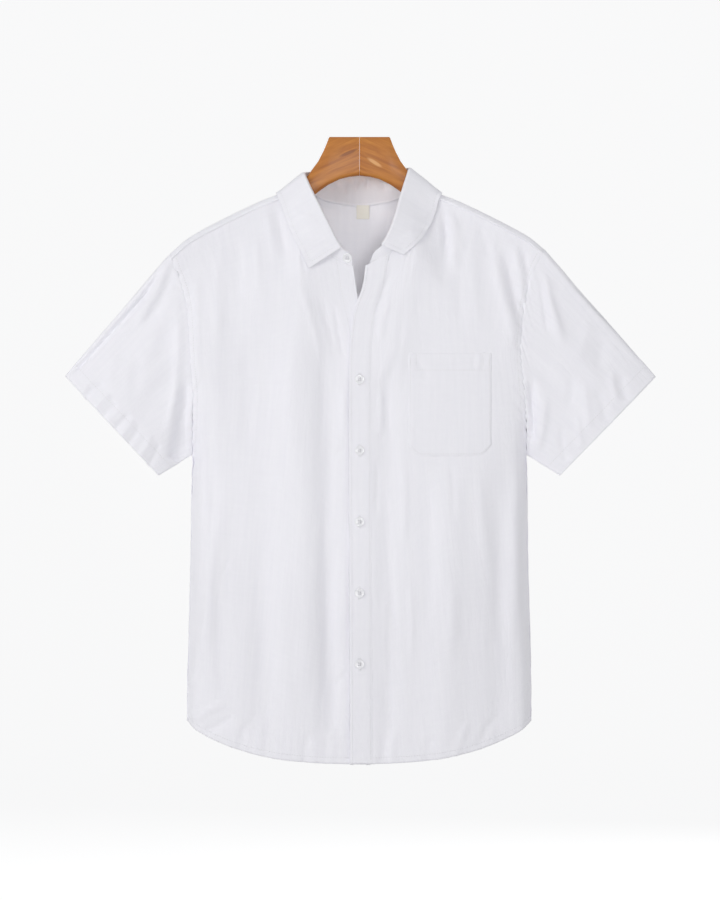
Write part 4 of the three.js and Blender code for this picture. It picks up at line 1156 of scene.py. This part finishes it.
def make_hanger_arm(side):
    """The CAD arm with its edges rounded over, as sanding leaves them."""
    arm = copy_piece(f"wooden_arm_{side}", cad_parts[f"hanger_{side}"].data, wood)
    finish_modifier(arm, "WELD", merge_threshold=0.01 * MM)
    finish_modifier(arm, "BEVEL", width=1.1 * MM, segments=3, limit_method="ANGLE",
                    angle_limit=math.radians(50))
    make_active(arm)
    bpy.ops.object.shade_smooth_by_angle(angle=SMOOTH_ANGLE)
    show(arm, "wood", f"hanger_{side}")


def make_buttons():
    """The five front buttons and the collar's, each with its own thread."""
    button, sewn = shaped_button(), button_thread()
    for node in [f"button_{k}" for k in range(1, 6)] + ["collar_button"]:
        place = button_place(node)
        show(copy_piece(f"pearl_{node}", button.data, pearl, place), "button", node)
        show(copy_piece(f"thread_{node}", sewn.data, thread, place), "linen")
    for model in (button, sewn):
        bpy.data.objects.remove(model)


left_front = make_front("left")
make_sleeve("left")
make_front("right")
make_sleeve("right")
make_back()
make_stand()
make_leaf()
make_band(left_front)
make_pocket()
make_label()
make_buttons()
for each in ("left", "right"):
    make_hanger_arm(each)


# Studio

SWEEP = {"width": 80.0, "near": -40.0, "floor": -1.35, "bend": 4.0, "wall": 13.0, "top": 24.0}


def make_sweep():
    """A paper sweep: a wide floor under the shirt that curves up into a wall far behind it,
    outside the circle that the views from other sides are taken from."""
    bend, wall, floor = SWEEP["bend"], SWEEP["wall"], SWEEP["floor"]
    section = [(SWEEP["near"], floor)]
    for turn in np.linspace(0, math.pi / 2, 13):
        section.append((wall - bend + bend * math.sin(turn), floor + bend - bend * math.cos(turn)))
    section.append((wall, SWEEP["top"]))
    half = SWEEP["width"] / 2
    points = [(x, y, z) for x in (-half, half) for y, z in section]
    count = len(section)
    faces = [(k, count + k, count + k + 1, k + 1) for k in range(count - 1)]
    sweep = mesh_piece("paper_sweep", points, faces, paper, scale=1)
    # The paper is seen, but throws no light back on the shirt.
    sweep.visible_diffuse = False


def make_lamp(kind, name, place, target, power, **settings):
    """A lamp at a place in metres, aimed at a target."""
    data = bpy.data.lights.new(name, kind)
    data.energy = power
    for key, value in settings.items():
        setattr(data, key, value)
    lamp = add_object(name, data)
    lamp.location = place
    lamp.rotation_euler = (Vector(target) - Vector(place)).to_track_quat("-Z", "Y").to_euler()
    return lamp


def make_softbox(name, place, target, size, power):
    """A round softbox that the camera doesn't see."""
    make_lamp("AREA", name, place, target, power, shape="DISK", size=size).visible_camera = False


def make_spot(name, place, target, power, degrees, softness):
    """A spotlight with a soft-edged cone."""
    return make_lamp("SPOT", name, place, target, power, spot_size=math.radians(degrees),
                     spot_blend=1.0, shadow_soft_size=softness)


def make_collar_lights():
    """A soft spot on the collar, and one that only the inside of the neck takes."""
    make_spot("collar_spot", (0.15, -7.0, 0.1), (0.003, 0, -0.105), 2700, 1.7, 0.5)
    lamp = make_spot("neck_spot", (0.02, -7.0, -0.1), (0.003, 0.02, -0.165), 950, 1.8, 0.12)
    inside = bpy.data.collections.new("inside_of_neck")
    for name in ("cloth_back", "cloth_label"):
        inside.objects.link(bpy.data.objects[name])
    lamp.light_linking.receiver_collection = inside


def make_camera():
    """A long lens at the photograph's distance: 8 m off, level with the shirt's middle, and
    as wide a view as the photograph has at 1.32 mm to the pixel."""
    data = bpy.data.cameras.new("photo_camera")
    camera = add_object("photo_camera", data)
    camera.location = (0.0007, -8.0, -0.413)
    camera.rotation_euler = (math.pi / 2, 0, 0)
    data.sensor_fit = "VERTICAL"
    data.sensor_height = 36
    data.lens = 242.4
    data.clip_end = 120
    bpy.context.scene.camera = camera


def make_studio():
    """The room's light, the lamps and the camera."""
    scene = bpy.context.scene
    scene.view_settings.view_transform = "Standard"
    world = bpy.data.worlds.new("soft_room")
    scene.world = world
    world.use_nodes = True
    tree = world.node_tree
    room = next(n for n in tree.nodes if n.type == "BACKGROUND")
    room.inputs["Color"].default_value = (0.98, 0.985, 1.0, 1)
    room.inputs["Strength"].default_value = 0.56
    # The room is seen as pale as the paper, and lights the shirt less than that.
    seen = add_node(tree, "ShaderNodeBackground", Color=(0.9, 0.905, 0.91, 1)).outputs[0]
    direct = add_node(tree, "ShaderNodeLightPath").outputs["Is Camera Ray"]
    mixed = add_node(tree, "ShaderNodeMixShader", i0=direct, i1=room.outputs[0], i2=seen).outputs[0]
    tree.links.new(mixed, next(n for n in tree.nodes if n.type == "OUTPUT_WORLD").inputs["Surface"])
    make_softbox("key_softbox", (-3.6, -3.2, 0.6), (0, 0, -0.45), 1.5, 58)
    make_softbox("fill_softbox", (1.1, -7.2, -0.5), (0, 0, -0.45), 2.0, 87)
    make_softbox("back_softbox", (2.6, 5.5, 1.4), (0, 0, -0.4), 2.6, 84)
    make_collar_lights()
    make_camera()


make_sweep()
make_studio()
